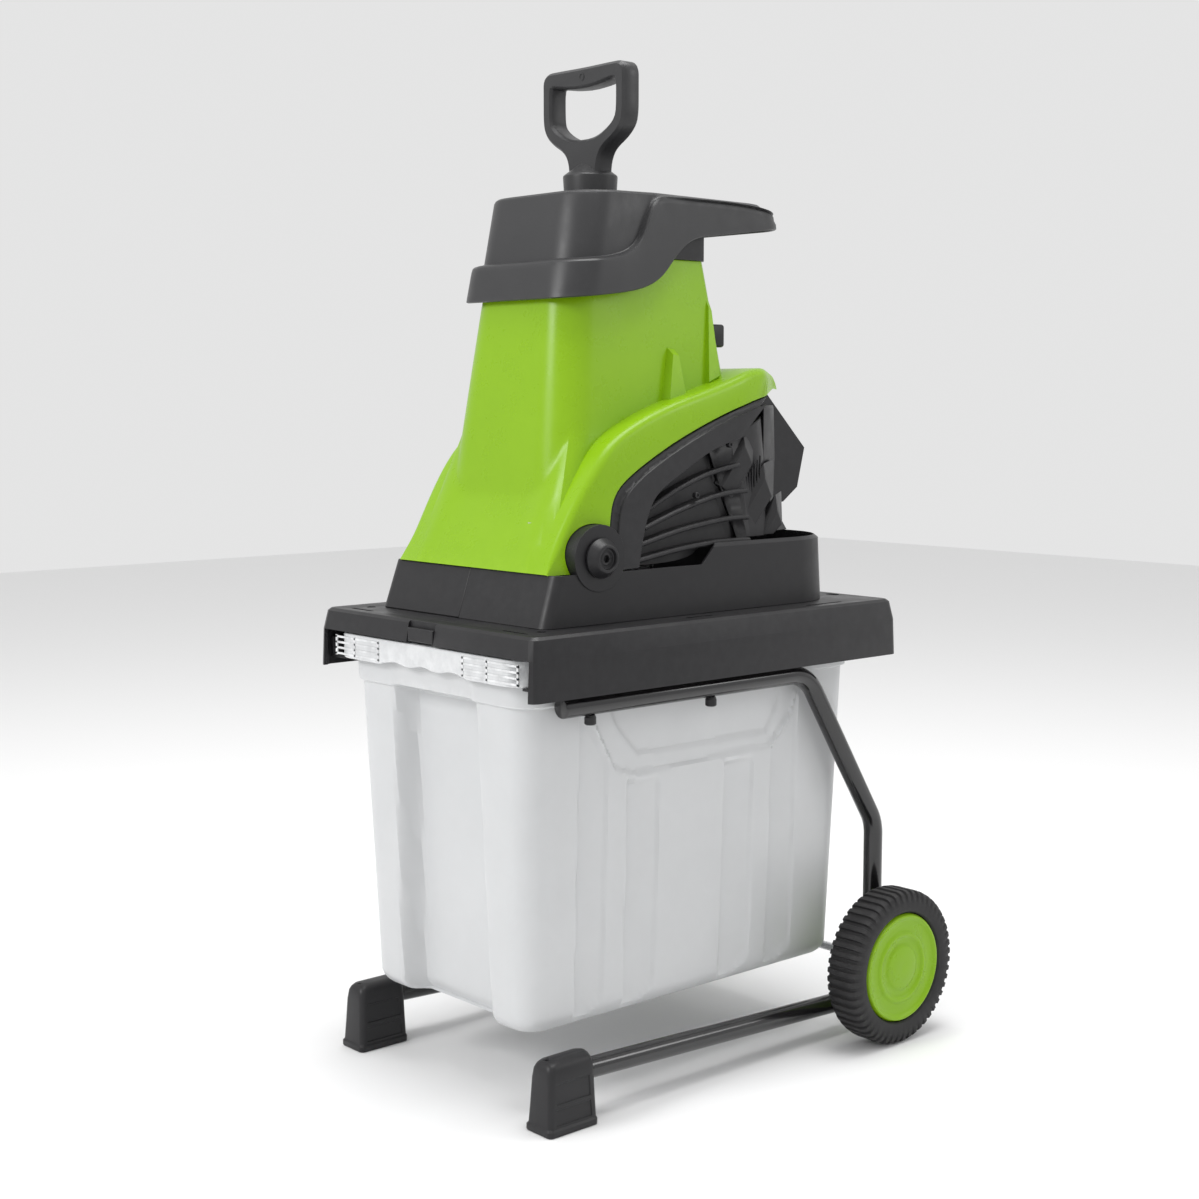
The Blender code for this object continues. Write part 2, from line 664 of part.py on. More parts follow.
# --- base plate, rails and bin --------------------------------------------
def make_base_plate():
    """Open-bottomed tray: leaning sides, chip outlet, bin doorway, slider recess."""
    def ring(height, inset):
        return rounded_ring(
            PLATE_HALF_WIDTH - inset,
            PLATE_FRONT_Y + inset,
            PLATE_BACK_Y - inset,
            PLATE_CORNER,
            PLATE_CORNER,
            height,
            arc=2,
        )

    facet_z = PLATE_BOTTOM_Z + PLATE_FACET
    plate = lofted(
        "base_plate",
        [
            ring(PLATE_BOTTOM_Z, 0.0),
            ring(facet_z, PLATE_FACET_INSET),
            ring(PLATE_TOP_Z - 0.003, PLATE_INSET - 0.003),
            ring(PLATE_TOP_Z, PLATE_INSET),
        ],
        BLACK,
    )
    below = PLATE_BOTTOM_Z - 0.01
    inner = lofted(
        "base_plate_inside",
        [
            ring(below, WALL),
            ring(facet_z, WALL + PLATE_FACET_INSET),
            ring(PLATE_TOP_Z - SHEET, PLATE_INSET + WALL - 0.001),
        ],
        BLACK,
    )
    door = block(
        "bin_doorway",
        (-BIN_DOOR_HALF, PLATE_FRONT_Y - 0.01, below),
        (BIN_DOOR_HALF, PLATE_FRONT_Y + 0.03, facet_z),
        BLACK,
    )
    outlet = block(
        "chip_outlet",
        (OUTLET_X[0], OUTLET_Y[0], PLATE_TOP_Z - 0.02),
        (OUTLET_X[1], OUTLET_Y[1], PLATE_TOP_Z + 0.01),
        BLACK,
    )
    recess = block(
        "slider_recess",
        (-RECESS_HALF_WIDTH, PLATE_FRONT_Y - 0.01, below),
        (RECESS_HALF_WIDTH, RECESS_Y, PLATE_TOP_Z + 0.01),
        BLACK,
    )
    backing = block(
        "recess_backing",
        (-RECESS_HALF_WIDTH - WALL, RECESS_Y, facet_z),
        (RECESS_HALF_WIDTH + WALL, RECESS_Y + WALL, PLATE_TOP_Z - 0.001),
        BLACK,
    )
    slot = block(
        "slider_slot",
        (-SLIDER_STEM_HALF - RUN_GAP, RECESS_Y - 0.01, SLIDER_STEM_Z[0] - RUN_GAP),
        (
            SLIDER_STEM_HALF + RUN_GAP,
            RECESS_Y + WALL + 0.001,
            SLIDER_STEM_Z[1] + SLIDER_TRAVEL + RUN_GAP,
        ),
        BLACK,
    )
    cut(plate, inner, door, outlet, recess)
    join(plate, backing)
    return cut(plate, slot)


def make_bin_rail(side):
    """Angle strip on the tray's side wall that the bin's rim slides on."""
    sign = 1 if side == "right" else -1
    top = BIN_RIM_BOTTOM_Z - GAP
    under = top - RAIL_THICKNESS
    inner = BIN_TOP_HALF + 0.0045
    outline = (
        (sign * inner, under),
        (sign * RAIL_OUTER_X, under),
        (sign * RAIL_OUTER_X, top + RAIL_HEIGHT),
        (sign * (RAIL_OUTER_X - RAIL_THICKNESS), top + RAIL_HEIGHT),
        (sign * (RAIL_OUTER_X - RAIL_THICKNESS), top),
        (sign * inner, top),
    )
    front = PLATE_FRONT_Y + PLATE_CORNER + WALL + 0.0015
    back = PLATE_BACK_Y - 0.030
    prism_y(f"bin_rail_{side}", outline, front, back, BLACK)


def make_bin():
    """Thin-walled tub with a turned-down rim all round, which is also the grip."""
    def ring(inset, share, height, corner=BIN_CORNER):
        front = BIN_BOTTOM_FRONT_Y + (BIN_FRONT_Y - BIN_BOTTOM_FRONT_Y) * share
        back = BIN_BOTTOM_BACK_Y + (BIN_BACK_Y - BIN_BOTTOM_BACK_Y) * share
        half = BIN_BOTTOM_HALF + BIN_TAPER * share
        return rounded_ring(
            half - inset, front + inset, back - inset, corner, corner, height, arc=4
        )

    reach = BIN_RIM_REACH
    under_rim = BIN_RIM_TOP_Z - BIN_WALL
    rings = [
        ring(0.018, 0.0, BIN_BOTTOM_Z, 0.016),
        ring(0.006, 0.01, BIN_BOTTOM_Z + 0.006, 0.026),
        ring(0.000, 0.04, BIN_BOTTOM_Z + 0.020),
        ring(0.000, 1.0, under_rim),
        ring(BIN_WALL - reach, 1.0, under_rim),
        ring(BIN_WALL - reach, 1.0, BIN_RIM_BOTTOM_Z),
        ring(-reach, 1.0, BIN_RIM_BOTTOM_Z),
        ring(-reach, 1.0, BIN_RIM_TOP_Z),
        ring(BIN_WALL, 1.0, BIN_RIM_TOP_Z),
        ring(BIN_WALL, 0.04, BIN_BOTTOM_Z + 0.020),
        ring(0.006 + BIN_WALL, 0.01, BIN_BOTTOM_Z + 0.006 + BIN_WALL, 0.024),
        ring(0.018 + BIN_WALL, 0.0, BIN_BOTTOM_Z + BIN_WALL, 0.014),
    ]
    lofted("collecting_bin", rings, WHITE, smooth=True)


def make_bin_slider():
    """Safety slider in the recess above the bin, and the switch behind it."""
    half = RECESS_HALF_WIDTH - 0.0015
    height = PLATE_TOP_Z - SLIDER_TRAVEL - 0.0015 - SLIDER_BOTTOM_Z
    low = (-half, PLATE_FRONT_Y + 0.0018, SLIDER_BOTTOM_Z)
    high = (half, RECESS_Y - RUN_GAP, SLIDER_BOTTOM_Z + height)
    slider = block("bin_safety_slider", low, high, BLACK, place=low)
    stem_end = RECESS_Y + WALL + 0.004
    stem = block(
        "slider_stem",
        (-SLIDER_STEM_HALF, RECESS_Y - 0.002, SLIDER_STEM_Z[0]),
        (SLIDER_STEM_HALF, stem_end, SLIDER_STEM_Z[1]),
        BLACK,
    )
    join(slider, stem)
    block(
        "bin_interlock_switch",
        (-0.010, stem_end + RUN_GAP, BIN_RIM_TOP_Z + 0.003),
        (0.010, stem_end + 0.014, PLATE_TOP_Z - SHEET - GAP),
        BLACK,
    )


# --- lower housing --------------------------------------------------------
def housing_ring(height, inset=0.0, lean=0.0):
    return rounded_ring(
        HOUSING_HALF_WIDTH - inset,
        HOUSING_FRONT_Y + inset + lean,
        HOUSING_BACK_Y - inset,
        0.012,
        0.075,
        height,
        arc=6,
    )


def make_lower_housing(side):
    """Half of the black lower housing, split along the middle seam."""
    sign = 1 if side == "right" else -1
    top = up(HOUSING_REAR_TOP)
    shell = lofted(
        f"lower_housing_{side}",
        [
            housing_ring(SEAT_Z),
            housing_ring(top - 0.004, 0.0025, HOUSING_LEAN),
            housing_ring(top, 0.006, HOUSING_LEAN),
            housing_ring(top, 0.0025 + WALL, HOUSING_LEAN),
            housing_ring(SEAT_Z, WALL),
        ],
        BLACK,
        closed=True,
    )
    wide = HOUSING_HALF_WIDTH * 2
    ahead = HOUSING_FRONT_Y - 0.05
    step = [
        (ahead, up(HOUSING_FRONT_TOP)),
        (STEP_Y[0], up(HOUSING_FRONT_TOP)),
        (STEP_Y[1], up(HOUSING_REAR_TOP) + 0.001),
        (ahead, up(HOUSING_REAR_TOP) + 0.001),
    ]
    cut(shell, prism_x(f"rim_step_{side}", step, -wide, wide, BLACK))
    if side == "right":
        centre = (EAR_X, MILL_Y, MILL_Z)
        ear = rod_x("ear", centre, EAR_RADIUS, EAR_X - WALL, EAR_X + EAR_PROUD, BLACK, 28)
        hole = rod_x("ear_hole", centre, SCREW_RADIUS + RUN_GAP, EAR_X - 0.02, EAR_X + 0.02, BLACK)
        join(shell, ear)
        cut(shell, hole)
    seam = GAP / 2
    behind = HOUSING_BACK_Y + 0.05
    low_x, high_x = sorted((-sign * wide, sign * seam))
    other_half = block(
        f"other_half_{side}", (low_x, ahead, 0.0), (high_x, behind, top + 0.2), BLACK
    )
    return cut(shell, other_half)


# --- green shell and the covers in its arches -----------------------------
def cover_half_width(z):
    return COVER_HALF_WIDTH - COVER_LEAN * (z - up(HOUSING_FRONT_TOP))


def tower_rings(inset):
    rings = []
    for height, half, front, back, radius in TOWER_LEVELS:
        ring = rounded_ring(
            half - inset, front + inset, back - inset, radius, 0.014, up(height), arc=4
        )
        rings.append(ring)
    return rings


def raised(outline):
    """An outline of (y, height above the plate) pairs, as (y, z) pairs."""
    return [(y, up(height)) for y, height in outline]


def stretched_ends(rings, drop, rise):
    """The same rings with the first lowered and the last raised."""
    first = [(x, y, z - drop) for x, y, z in rings[0]]
    last = [(x, y, z + rise) for x, y, z in rings[-1]]
    return [first, *rings, last]


def make_ear_room(name):
    """Room for the housing's round ear in the pieces beside it."""
    centre = (HOUSING_HALF_WIDTH, MILL_Y, MILL_Z)
    ends = (centre[0] - 0.020, centre[0] + 0.020)
    return rod_x(name, centre, EAR_RADIUS + RUN_GAP, *ends, GREEN, 28)


def make_body_shell():
    """Green shell: the feed tower, flaring into an arched cover over the motor."""
    tower = lofted("body_shell", tower_rings(0.0), GREEN)
    cover = prism_x(
        "arched_cover",
        raised(RIDGE + ARCH),
        lambda z: -cover_half_width(z),
        cover_half_width,
        GREEN,
    )
    bevel(cover, 0.008, 2, 30)
    inside = lofted("tower_inside", stretched_ends(tower_rings(WALL), 0.02, 0.02), GREEN)
    hollow = [
        (-0.2325 + WALL * 2.2, 0.0000),
        (-0.2325 + WALL * 1.1, 0.0540),
        *[(y + WALL * 0.8, height - WALL * 0.7) for y, height in RIDGE[1:4]],
        *[(y, height - WALL) for y, height in RIDGE[4:7]],
        (RIDGE[7][0] - WALL, RIDGE[7][1] - WALL),
        (RIDGE[8][0] - WALL, RIDGE[8][1] - 0.01),
        (RIDGE[8][0] - WALL, 0.0000),
    ]
    cover_inside = prism_x(
        "cover_inside",
        raised(hollow),
        lambda z: -cover_half_width(z) + WALL,
        lambda z: cover_half_width(z) - WALL,
        GREEN,
    )
    join(tower, cover)
    return cut(tower, inside, cover_inside, make_ear_room("shell_ear_room"))


def make_side_cover(side):
    """Black cover in the arch, with a fan of slanted vent slots."""
    sign = 1 if side == "right" else -1
    top = [
        (COVER_BACK_Y, 0.2370),
        (0.0710, 0.2290),
        (0.0020, 0.2070),
        (-0.0645, 0.1800),
        (-0.1272, 0.1472),
        (-0.1460, 0.1275),
        (-0.1520, 0.1000),
    ]
    outline = raised([(y + 0.0004, height - 0.0006) for y, height in top])
    outline += [
        (-0.1580, up(HOUSING_FRONT_TOP + 0.0010)),
        (STEP_Y[0] - 0.001, up(HOUSING_FRONT_TOP + 0.0010)),
        (STEP_Y[1] - 0.001, up(HOUSING_REAR_TOP + 0.0010)),
        (COVER_BACK_Y, up(HOUSING_REAR_TOP + 0.0010)),
    ]
    cover = prism_x(
        f"side_cover_{side}",
        outline,
        lambda z: sign * (cover_half_width(z) - 0.0015 - WALL),
        lambda z: sign * (cover_half_width(z) - 0.0015),
        BLACK,
    )
    for slot in range(VENT_SLOTS):
        share = slot / (VENT_SLOTS - 1)
        front_y = -0.118 + 0.040 * share
        front_h = 0.066 + 0.078 * share
        back_y = 0.000 + 0.045 * share
        back_h = front_h + 0.010 + 0.040 * share
        half = 0.0048
        slit = [
            (front_y, up(front_h - half)),
            (back_y, up(back_h - half)),
            (back_y, up(back_h + half)),
            (front_y, up(front_h + half)),
        ]
        cutter = prism_x(
            f"vent_slot_{slot}_{side}",
            slit,
            sign * (COVER_HALF_WIDTH - 0.05),
            sign * (COVER_HALF_WIDTH + 0.05),
            BLACK,
        )
        cut(cover, cutter)
    if side == "right":
        cut(cover, make_ear_room("cover_ear_room"))
    return cover


def make_motor_cover():
    """Louvred rear cover round the motor, open towards the motor and below."""
    outline = [
        (MOTOR_COVER_FRONT_Y, MOTOR_COVER_FOOT),
        *MOTOR_COVER_BACK,
        (MOTOR_COVER_FRONT_Y, MOTOR_COVER_TOP),
    ]
    cover = prism_x(
        "motor_cover",
        raised(outline),
        -MOTOR_COVER_HALF,
        MOTOR_COVER_HALF,
        BLACK,
    )
    ahead = MOTOR_COVER_FRONT_Y - 0.03
    foot_y = MOTOR_COVER_BACK[0][0] - WALL
    hollow = [
        (ahead, MOTOR_COVER_FOOT - 0.01),
        (foot_y, MOTOR_COVER_FOOT - 0.01),
        (foot_y, MOTOR_COVER_FOOT),
        *[(y - WALL, height - WALL / 2) for y, height in MOTOR_COVER_BACK[1:-1]],
        (MOTOR_COVER_BACK[-1][0] - WALL, MOTOR_COVER_TOP - WALL),
        (ahead, MOTOR_COVER_TOP - WALL),
    ]
    inner_half = MOTOR_COVER_HALF - WALL
    cut(cover, prism_x("motor_cover_inside", raised(hollow), -inner_half, inner_half, BLACK))
    louvre_x = (MOTOR_COVER_HALF - 0.056, MOTOR_COVER_HALF - 0.010)
    for row in range(3):
        height = 0.112 + 0.033 * row
        for sign in (-1, 1):
            slit = block(
                f"louvre_{row}_{'right' if sign > 0 else 'left'}",
                (min(sign * louvre_x[0], sign * louvre_x[1]), 0.140, up(height)),
                (max(sign * louvre_x[0], sign * louvre_x[1]), 0.200, up(height + 0.012)),
                BLACK,
            )
            cut(cover, slit)
    return cover


# --- control box ----------------------------------------------------------
def facing(origin, outward, down):
    """Matrix whose Z points outward, Y up the face and X along +X or -X."""
    x_axis = (-down).cross(outward)
    columns = Matrix((x_axis, -down, outward)).transposed().to_4x4()
    return Matrix.Translation(origin) @ columns


def on_panel(x, share, lift=0.0):
    """Matrix at a place on the sloped face: share runs from its top to its foot."""
    origin = SLOPE_TOP + DOWN_SLOPE * SLOPE_LENGTH * share + Vector((x, 0, 0))
    return facing(origin + SLOPE_OUT * lift, SLOPE_OUT, DOWN_SLOPE)


def faced_prism(name, outline, low, high, material, matrix):
    """Extrusion along a face's outward direction of an outline drawn on it."""
    bm = bmesh.new()
    loft(bm, [[(x, y, z) for x, y in outline] for z in (low, high)])
    made = make_object(name, bm, material, smooth=len(outline) > 8)
    made.matrix_world = matrix
    return made


def disc_outline(radius, count=20):
    return [
        (radius * cos(2 * pi * step / count), radius * sin(2 * pi * step / count))
        for step in range(count)
    ]


def oblong(half_x, half_y, chamfer):
    return [
        (half_x, -half_y + chamfer),
        (half_x, half_y - chamfer),
        (half_x - chamfer, half_y),
        (-half_x + chamfer, half_y),
        (-half_x, half_y - chamfer),
        (-half_x, -half_y + chamfer),
        (-half_x + chamfer, -half_y),
        (half_x - chamfer, -half_y),
    ]


def make_control_box():
    """Rear box with the sloped control panel, the buttons and the mains inlet."""
    profile = [
        (BOX_FRONT_Y, up(BOX_TOP)),
        (SLOPE_TOP.y, SLOPE_TOP.z),
        (SLOPE_FOOT.y, SLOPE_FOOT.z),
        (BOX_CHIN.y, BOX_CHIN.z),
        (0.2000, up(BOX_SHELF)),
        (0.1760, up(BOX_SHELF)),
        (BOX_FRONT_Y, up(BOX_SHELF + 0.008)),
    ]
    box = prism_x("control_box", profile, -BOX_HALF_WIDTH, BOX_HALF_WIDTH, BLACK)
    hollow = [
        (BOX_FRONT_Y - 0.01, up(BOX_TOP) - WALL),
        (SLOPE_TOP.y - WALL * 0.4, SLOPE_TOP.z - WALL),
        (SLOPE_FOOT.y - WALL * 1.2, SLOPE_FOOT.z - WALL * 0.3),
        (BOX_CHIN.y - WALL * 1.05, BOX_CHIN.z + WALL * 0.4),
        (0.1985, up(BOX_SHELF) + WALL),
        (0.1775, up(BOX_SHELF) + WALL),
        (BOX_FRONT_Y - 0.01, up(BOX_SHELF + 0.013) + WALL),
    ]
    inner_half = BOX_HALF_WIDTH - WALL
    cut(box, prism_x("control_box_inside", hollow, -inner_half, inner_half, BLACK))
    panel = faced_prism(
        "control_panel",
        oblong(PANEL_HALF_WIDTH, SLOPE_LENGTH * PANEL_SHARE / 2, 0.006),
        GAP,
        GAP + PANEL_THICKNESS,
        BLACK,
        on_panel(0.0, 0.5),
    )
    surface = GAP + PANEL_THICKNESS
    buttons = (
        ("start_button", *BUTTON_PLACES["start_button"], BUTTON_RADIUS, GREEN),
        ("stop_button", *BUTTON_PLACES["stop_button"], BUTTON_RADIUS, RED),
        ("overload_reset_button", *RESET_PLACE, RESET_RADIUS, BLACK),
    )
    for name, x, share, radius, material in buttons:
        place = on_panel(x, share)
        top = surface + BUTTON_PROUD
        faced_prism(name, disc_outline(radius), top - BUTTON_LENGTH, top, material, place)
        hole = faced_prism(
            f"{name}_hole", disc_outline(radius + RUN_GAP), -0.03, 0.03, BLACK, place
        )
        cut(box, hole)
        cut(panel, hole)
    place = on_panel(*SELECTOR_PLACE)
    selector = faced_prism(
        "direction_selector",
        disc_outline(SELECTOR_RADIUS, 24),
        surface + RUN_GAP,
        surface + 0.0100,
        BLACK,
        place,
    )
    grip = faced_prism(
        "selector_grip", oblong(0.0035, 0.0125, 0.001), surface + 0.005, surface + 0.0150, BLACK, place
    )
    stem = faced_prism(
        "selector_stem", disc_outline(SELECTOR_STEM, 12), -0.0100, surface + 0.002, BLACK, place
    )
    join(selector, grip, stem)
    hole = faced_prism(
        "selector_hole", disc_outline(SELECTOR_STEM + RUN_GAP, 12), -0.03, 0.03, BLACK, place
    )
    cut(box, hole)
    cut(panel, hole)
    make_mains_inlet(box)


def make_mains_inlet(box):
    """Recessed plug inlet with two pins, in the chin of the control box."""
    middle = (SLOPE_FOOT + BOX_CHIN) / 2
    place = facing(middle, CHIN_OUT, CHIN_DOWN)
    half_x, half_y = INLET_HALF
    cup_half = (half_x - 0.0060, half_y - 0.0050)
    bore_half = (cup_half[0] - 0.0020, cup_half[1] - 0.0020)
    inlet = faced_prism("mains_inlet", oblong(half_x, half_y, 0.005), GAP, 0.0030, BLACK, place)
    cup = faced_prism("inlet_cup", oblong(*cup_half, 0.005), -INLET_DEPTH, 0.0020, BLACK, place)
    bore = faced_prism(
        "inlet_bore", oblong(*bore_half, 0.005), -INLET_DEPTH + 0.0020, 0.0200, BLACK, place
    )
    join(inlet, cup)
    cut(inlet, bore)
    for pin_side, sign in (("left", -1), ("right", 1)):
        pin_place = place @ Matrix.Translation((sign * 0.0070, 0, 0))
        pin = faced_prism(
            f"inlet_pin_{pin_side}",
            disc_outline(0.0020, 10),
            -INLET_DEPTH + 0.0010,
            -0.0010,
            STEEL,
            pin_place,
        )
        join(inlet, pin)
    room = faced_prism(
        "inlet_room",
        oblong(cup_half[0] + RUN_GAP, cup_half[1] + RUN_GAP, 0.005),
        -0.0120,
        0.0100,
        BLACK,
        place,
    )
    cut(box, room)


# --- mill and gears -------------------------------------------------------
def meeting_point(first, first_reach, second, second_reach, side):
    """Where two circles in the (x, z) plane cross."""
    apart = hypot(second[0] - first[0], second[1] - first[1])
    along = (apart**2 + first_reach**2 - second_reach**2) / (2 * apart)
    across = (first_reach**2 - along**2) ** 0.5 * side
    ux = (second[0] - first[0]) / apart
    uz = (second[1] - first[1]) / apart
    return (first[0] + ux * along - uz * across, first[1] + uz * along + ux * across)


def gear_angle(source, target):
    """Direction from one axis to another, as the angle that circle points use."""
    return atan2(target[0] - source[0], target[1] - source[1])


def gear_outline(centre, teeth, module, phase):
    """Involute gear in the (x, z) plane, with a tooth centred on the phase angle."""
    pitch = teeth * module / 2
    base = pitch * cos(PRESSURE_ANGLE)
    tip = pitch + ADDENDUM * module
    root = pitch - DEDENDUM * module

    def involute(radius):
        angle = acos(min(1.0, base / radius))
        return tan(angle) - angle

    half_at_pitch = pi / (2 * teeth) - BACKLASH / (2 * pitch)
    start = max(root, base)
    flank = []
    if root < base:
        flank.append((root, half_at_pitch + involute(pitch)))
    for radius in (start, (start + tip) / 2, tip) if root < base else (start, tip):
        flank.append((radius, half_at_pitch + involute(pitch) - involute(radius)))
    points = []
    for tooth in range(teeth):
        middle = phase + 2 * pi * tooth / teeth
        sides = [(radius, middle - half) for radius, half in flank]
        sides += [(radius, middle + half) for radius, half in reversed(flank)]
        for radius, angle in sides:
            points.append((centre[0] + radius * sin(angle), centre[1] + radius * cos(angle)))
    return points


STAGE_REACH = [
    (PINION_TEETH + teeth) * module / 2 for teeth, module in zip(STAGE_TEETH, STAGE_MODULES)
]
LAYSHAFT_1 = (
    MOTOR_AXIS[0] + STAGE_REACH[0] * sin(FIRST_ANGLE + pi / 2),
    MOTOR_AXIS[1] + STAGE_REACH[0] * cos(FIRST_ANGLE + pi / 2),
)
LAYSHAFT_2 = meeting_point(ROLLER_AXIS, STAGE_REACH[2], LAYSHAFT_1, STAGE_REACH[1], -1)


def gear(name, axis, teeth, module, phase, ys, material=STEEL):
    outline = gear_outline(axis, teeth, module, phase)
    place = (axis[0], ys[0], axis[1])
    return prism_y(name, outline, ys[0], ys[1], material, place=place)


def gear_pair_phases(driver, driven, teeth):
    """A tooth of the driver points at the driven gear, which has a gap there."""
    towards = gear_angle(driver, driven)
    return towards, towards + pi + pi / teeth


def make_gear_train():
    """Motor pinion, two layshafts and the gear on the roller's shaft."""
    mesh_1 = gear_pair_phases(MOTOR_AXIS, LAYSHAFT_1, STAGE_TEETH[0])
    mesh_2 = gear_pair_phases(LAYSHAFT_1, LAYSHAFT_2, STAGE_TEETH[1])
    mesh_3 = gear_pair_phases(LAYSHAFT_2, ROLLER_AXIS, STAGE_TEETH[2])
    pinions = []
    for axis, module, phase, ys in zip(
        (MOTOR_AXIS, LAYSHAFT_1, LAYSHAFT_2),
        STAGE_MODULES,
        (mesh_1[0], mesh_2[0], mesh_3[0]),
        STAGE_Y,
    ):
        name = f"pinion_{len(pinions) + 1}"
        wider = (ys[0] - 0.001, ys[1] + 0.001)
        pinions.append(gear(name, axis, PINION_TEETH, module, phase, wider))
    wheels = []
    for name, axis, teeth, module, phase, ys in (
        ("layshaft_1", LAYSHAFT_1, STAGE_TEETH[0], STAGE_MODULES[0], mesh_1[1], STAGE_Y[0]),
        ("layshaft_2", LAYSHAFT_2, STAGE_TEETH[1], STAGE_MODULES[1], mesh_2[1], STAGE_Y[1]),
        ("roller_gear", ROLLER_AXIS, STAGE_TEETH[2], STAGE_MODULES[2], mesh_3[1], STAGE_Y[2]),
    ):
        wheels.append(gear(name, axis, teeth, module, phase, ys))
    for wheel, pinion, axis, radius in (
        (wheels[0], pinions[1], LAYSHAFT_1, 0.0045),
        (wheels[1], pinions[2], LAYSHAFT_2, 0.0060),
    ):
        centre = (axis[0], 0.0, axis[1])
        shaft = rod_y(
            f"{wheel.name}_shaft", centre, radius, CASE_Y[0] + WALL + RUN_GAP, CASE_Y[1] - RUN_GAP, STEEL
        )
        join(wheel, pinion, shaft)
    centre = (ROLLER_AXIS[0], 0.0, ROLLER_AXIS[1])
    bore = rod_y("roller_gear_bore", centre, ROLLER_SHAFT_RADIUS + GAP, -0.09, -0.04, STEEL)
    cut(wheels[2], bore)
    return pinions[0]


STAGE_AXES = (LAYSHAFT_1, LAYSHAFT_2, ROLLER_AXIS)
TIP_RADII = [
    (teeth / 2 + ADDENDUM) * module for teeth, module in zip(STAGE_TEETH, STAGE_MODULES)
]
CASE_LOW = (
    min(axis[0] - tip for axis, tip in zip(STAGE_AXES, TIP_RADII)) - CASE_SPACE - WALL,
    min(axis[1] - tip for axis, tip in zip(STAGE_AXES, TIP_RADII)) - CASE_SPACE - WALL,
)
CASE_HIGH = (
    max(axis[0] + tip for axis, tip in zip(STAGE_AXES, TIP_RADII)) + CASE_SPACE + WALL,
    max(axis[1] + tip for axis, tip in zip(STAGE_AXES, TIP_RADII)) + CASE_SPACE + WALL,
)


def make_gearbox_case():
    """Cast cup round the gears, open at the back, with the roller's passage."""
    case = block(
        "gearbox_case",
        (CASE_LOW[0], CASE_Y[0], CASE_LOW[1]),
        (CASE_HIGH[0], CASE_Y[1] - GAP, CASE_HIGH[1]),
        CAST,
    )
    inside = block(
        "gearbox_inside",
        (CASE_LOW[0] + WALL, CASE_Y[0] + WALL, CASE_LOW[1] + WALL),
        (CASE_HIGH[0] - WALL, CASE_Y[1] + 0.01, CASE_HIGH[1] - WALL),
        CAST,
    )
    centre = (ROLLER_AXIS[0], 0.0, ROLLER_AXIS[1])
    passage = rod_y("case_passage", centre, BUSH_RADIUS + GAP, CASE_Y[0] - 0.01, CASE_Y[0] + 0.02, CAST)
    bevel(case, 0.006, 2)
    cut(case, inside, passage)
    lid = block(
        "gearbox_lid",
        (CASE_LOW[0], CASE_Y[1], CASE_LOW[1]),
        (CASE_HIGH[0], MOTOR_Y[0] - GAP, CASE_HIGH[1]),
        CAST,
    )
    shaft_centre = (MOTOR_AXIS[0], 0.0, MOTOR_AXIS[1])
    hole = rod_y("lid_hole", shaft_centre, ROTOR_SHAFT_RADIUS + 0.0020, -0.05, 0.05, CAST)
    cut(lid, hole)


def cutter_ring(y):
    """Section of the roller: hooked cutting teeth round a drum."""
    points = []
    for tooth in range(CUTTER_TEETH):
        start = 2 * pi * tooth / CUTTER_TEETH
        pitch = 2 * pi / CUTTER_TEETH
        for share, radius in (
            (0.00, ROLLER_RADIUS),
            (0.30, ROLLER_RADIUS - 0.0010),
            (0.36, ROLLER_RADIUS - 0.0090),
            (0.90, ROLLER_RADIUS - 0.0110),
        ):
            angle = start + share * pitch
            points.append((ROLLER_X + radius * sin(angle), y, MILL_Z + radius * cos(angle)))
    return points


def shaft_ring(y, radius):
    points = []
    for x, _, z in cutter_ring(y):
        angle = atan2(x - ROLLER_X, z - MILL_Z)
        points.append((ROLLER_X + radius * sin(angle), y, MILL_Z + radius * cos(angle)))
    return points


def make_mill():
    """Cutting roller in its two bushes, and the pressure plate facing it."""
    shaft_end = STAGE_Y[2][1] + 0.003
    lofted(
        "cutting_roller",
        [
            shaft_ring(BEARING_PLATE_Y - SHEET, ROLLER_SHAFT_RADIUS),
            shaft_ring(ROLLER_Y[0] - 0.002, ROLLER_SHAFT_RADIUS),
            shaft_ring(ROLLER_Y[0], ROLLER_RADIUS * 0.6),
            cutter_ring(ROLLER_Y[0] + 0.001),
            cutter_ring(ROLLER_Y[1] - 0.001),
            shaft_ring(ROLLER_Y[1], ROLLER_RADIUS * 0.6),
            shaft_ring(ROLLER_Y[1] + 0.002, ROLLER_SHAFT_RADIUS),
            shaft_ring(shaft_end, ROLLER_SHAFT_RADIUS),
        ],
        STEEL,
        place=(ROLLER_X, MILL_Y, MILL_Z),
    )
    centre = (ROLLER_X, 0.0, MILL_Z)
    inner = ROLLER_SHAFT_RADIUS + GAP
    for name, y_low, y_high in (
        ("roller_bush_front", BEARING_PLATE_Y - SHEET - 0.001, BEARING_PLATE_Y + 0.001),
        ("roller_bush_rear", CASE_Y[0] - 0.006, CASE_Y[0] + WALL),
    ):
        turned(name, tube_profile(y_low, y_high, inner, BUSH_RADIUS), COPPER, centre, "Y", 20, True)
    plate = block(
        "front_bearing_plate",
        (-TOWER_LEVELS[0][1] + 0.0330, BEARING_PLATE_Y - SHEET, up(0.0120)),
        (GUIDE_X - 0.0100, BEARING_PLATE_Y, up(0.0940)),
        CAST,
    )
    seat_ends = (BEARING_PLATE_Y - 0.01, BEARING_PLATE_Y + 0.01)
    seat = rod_y("bearing_seat", centre, BUSH_RADIUS + GAP, *seat_ends, CAST)
    cut(plate, seat)
    make_pressure_plate()


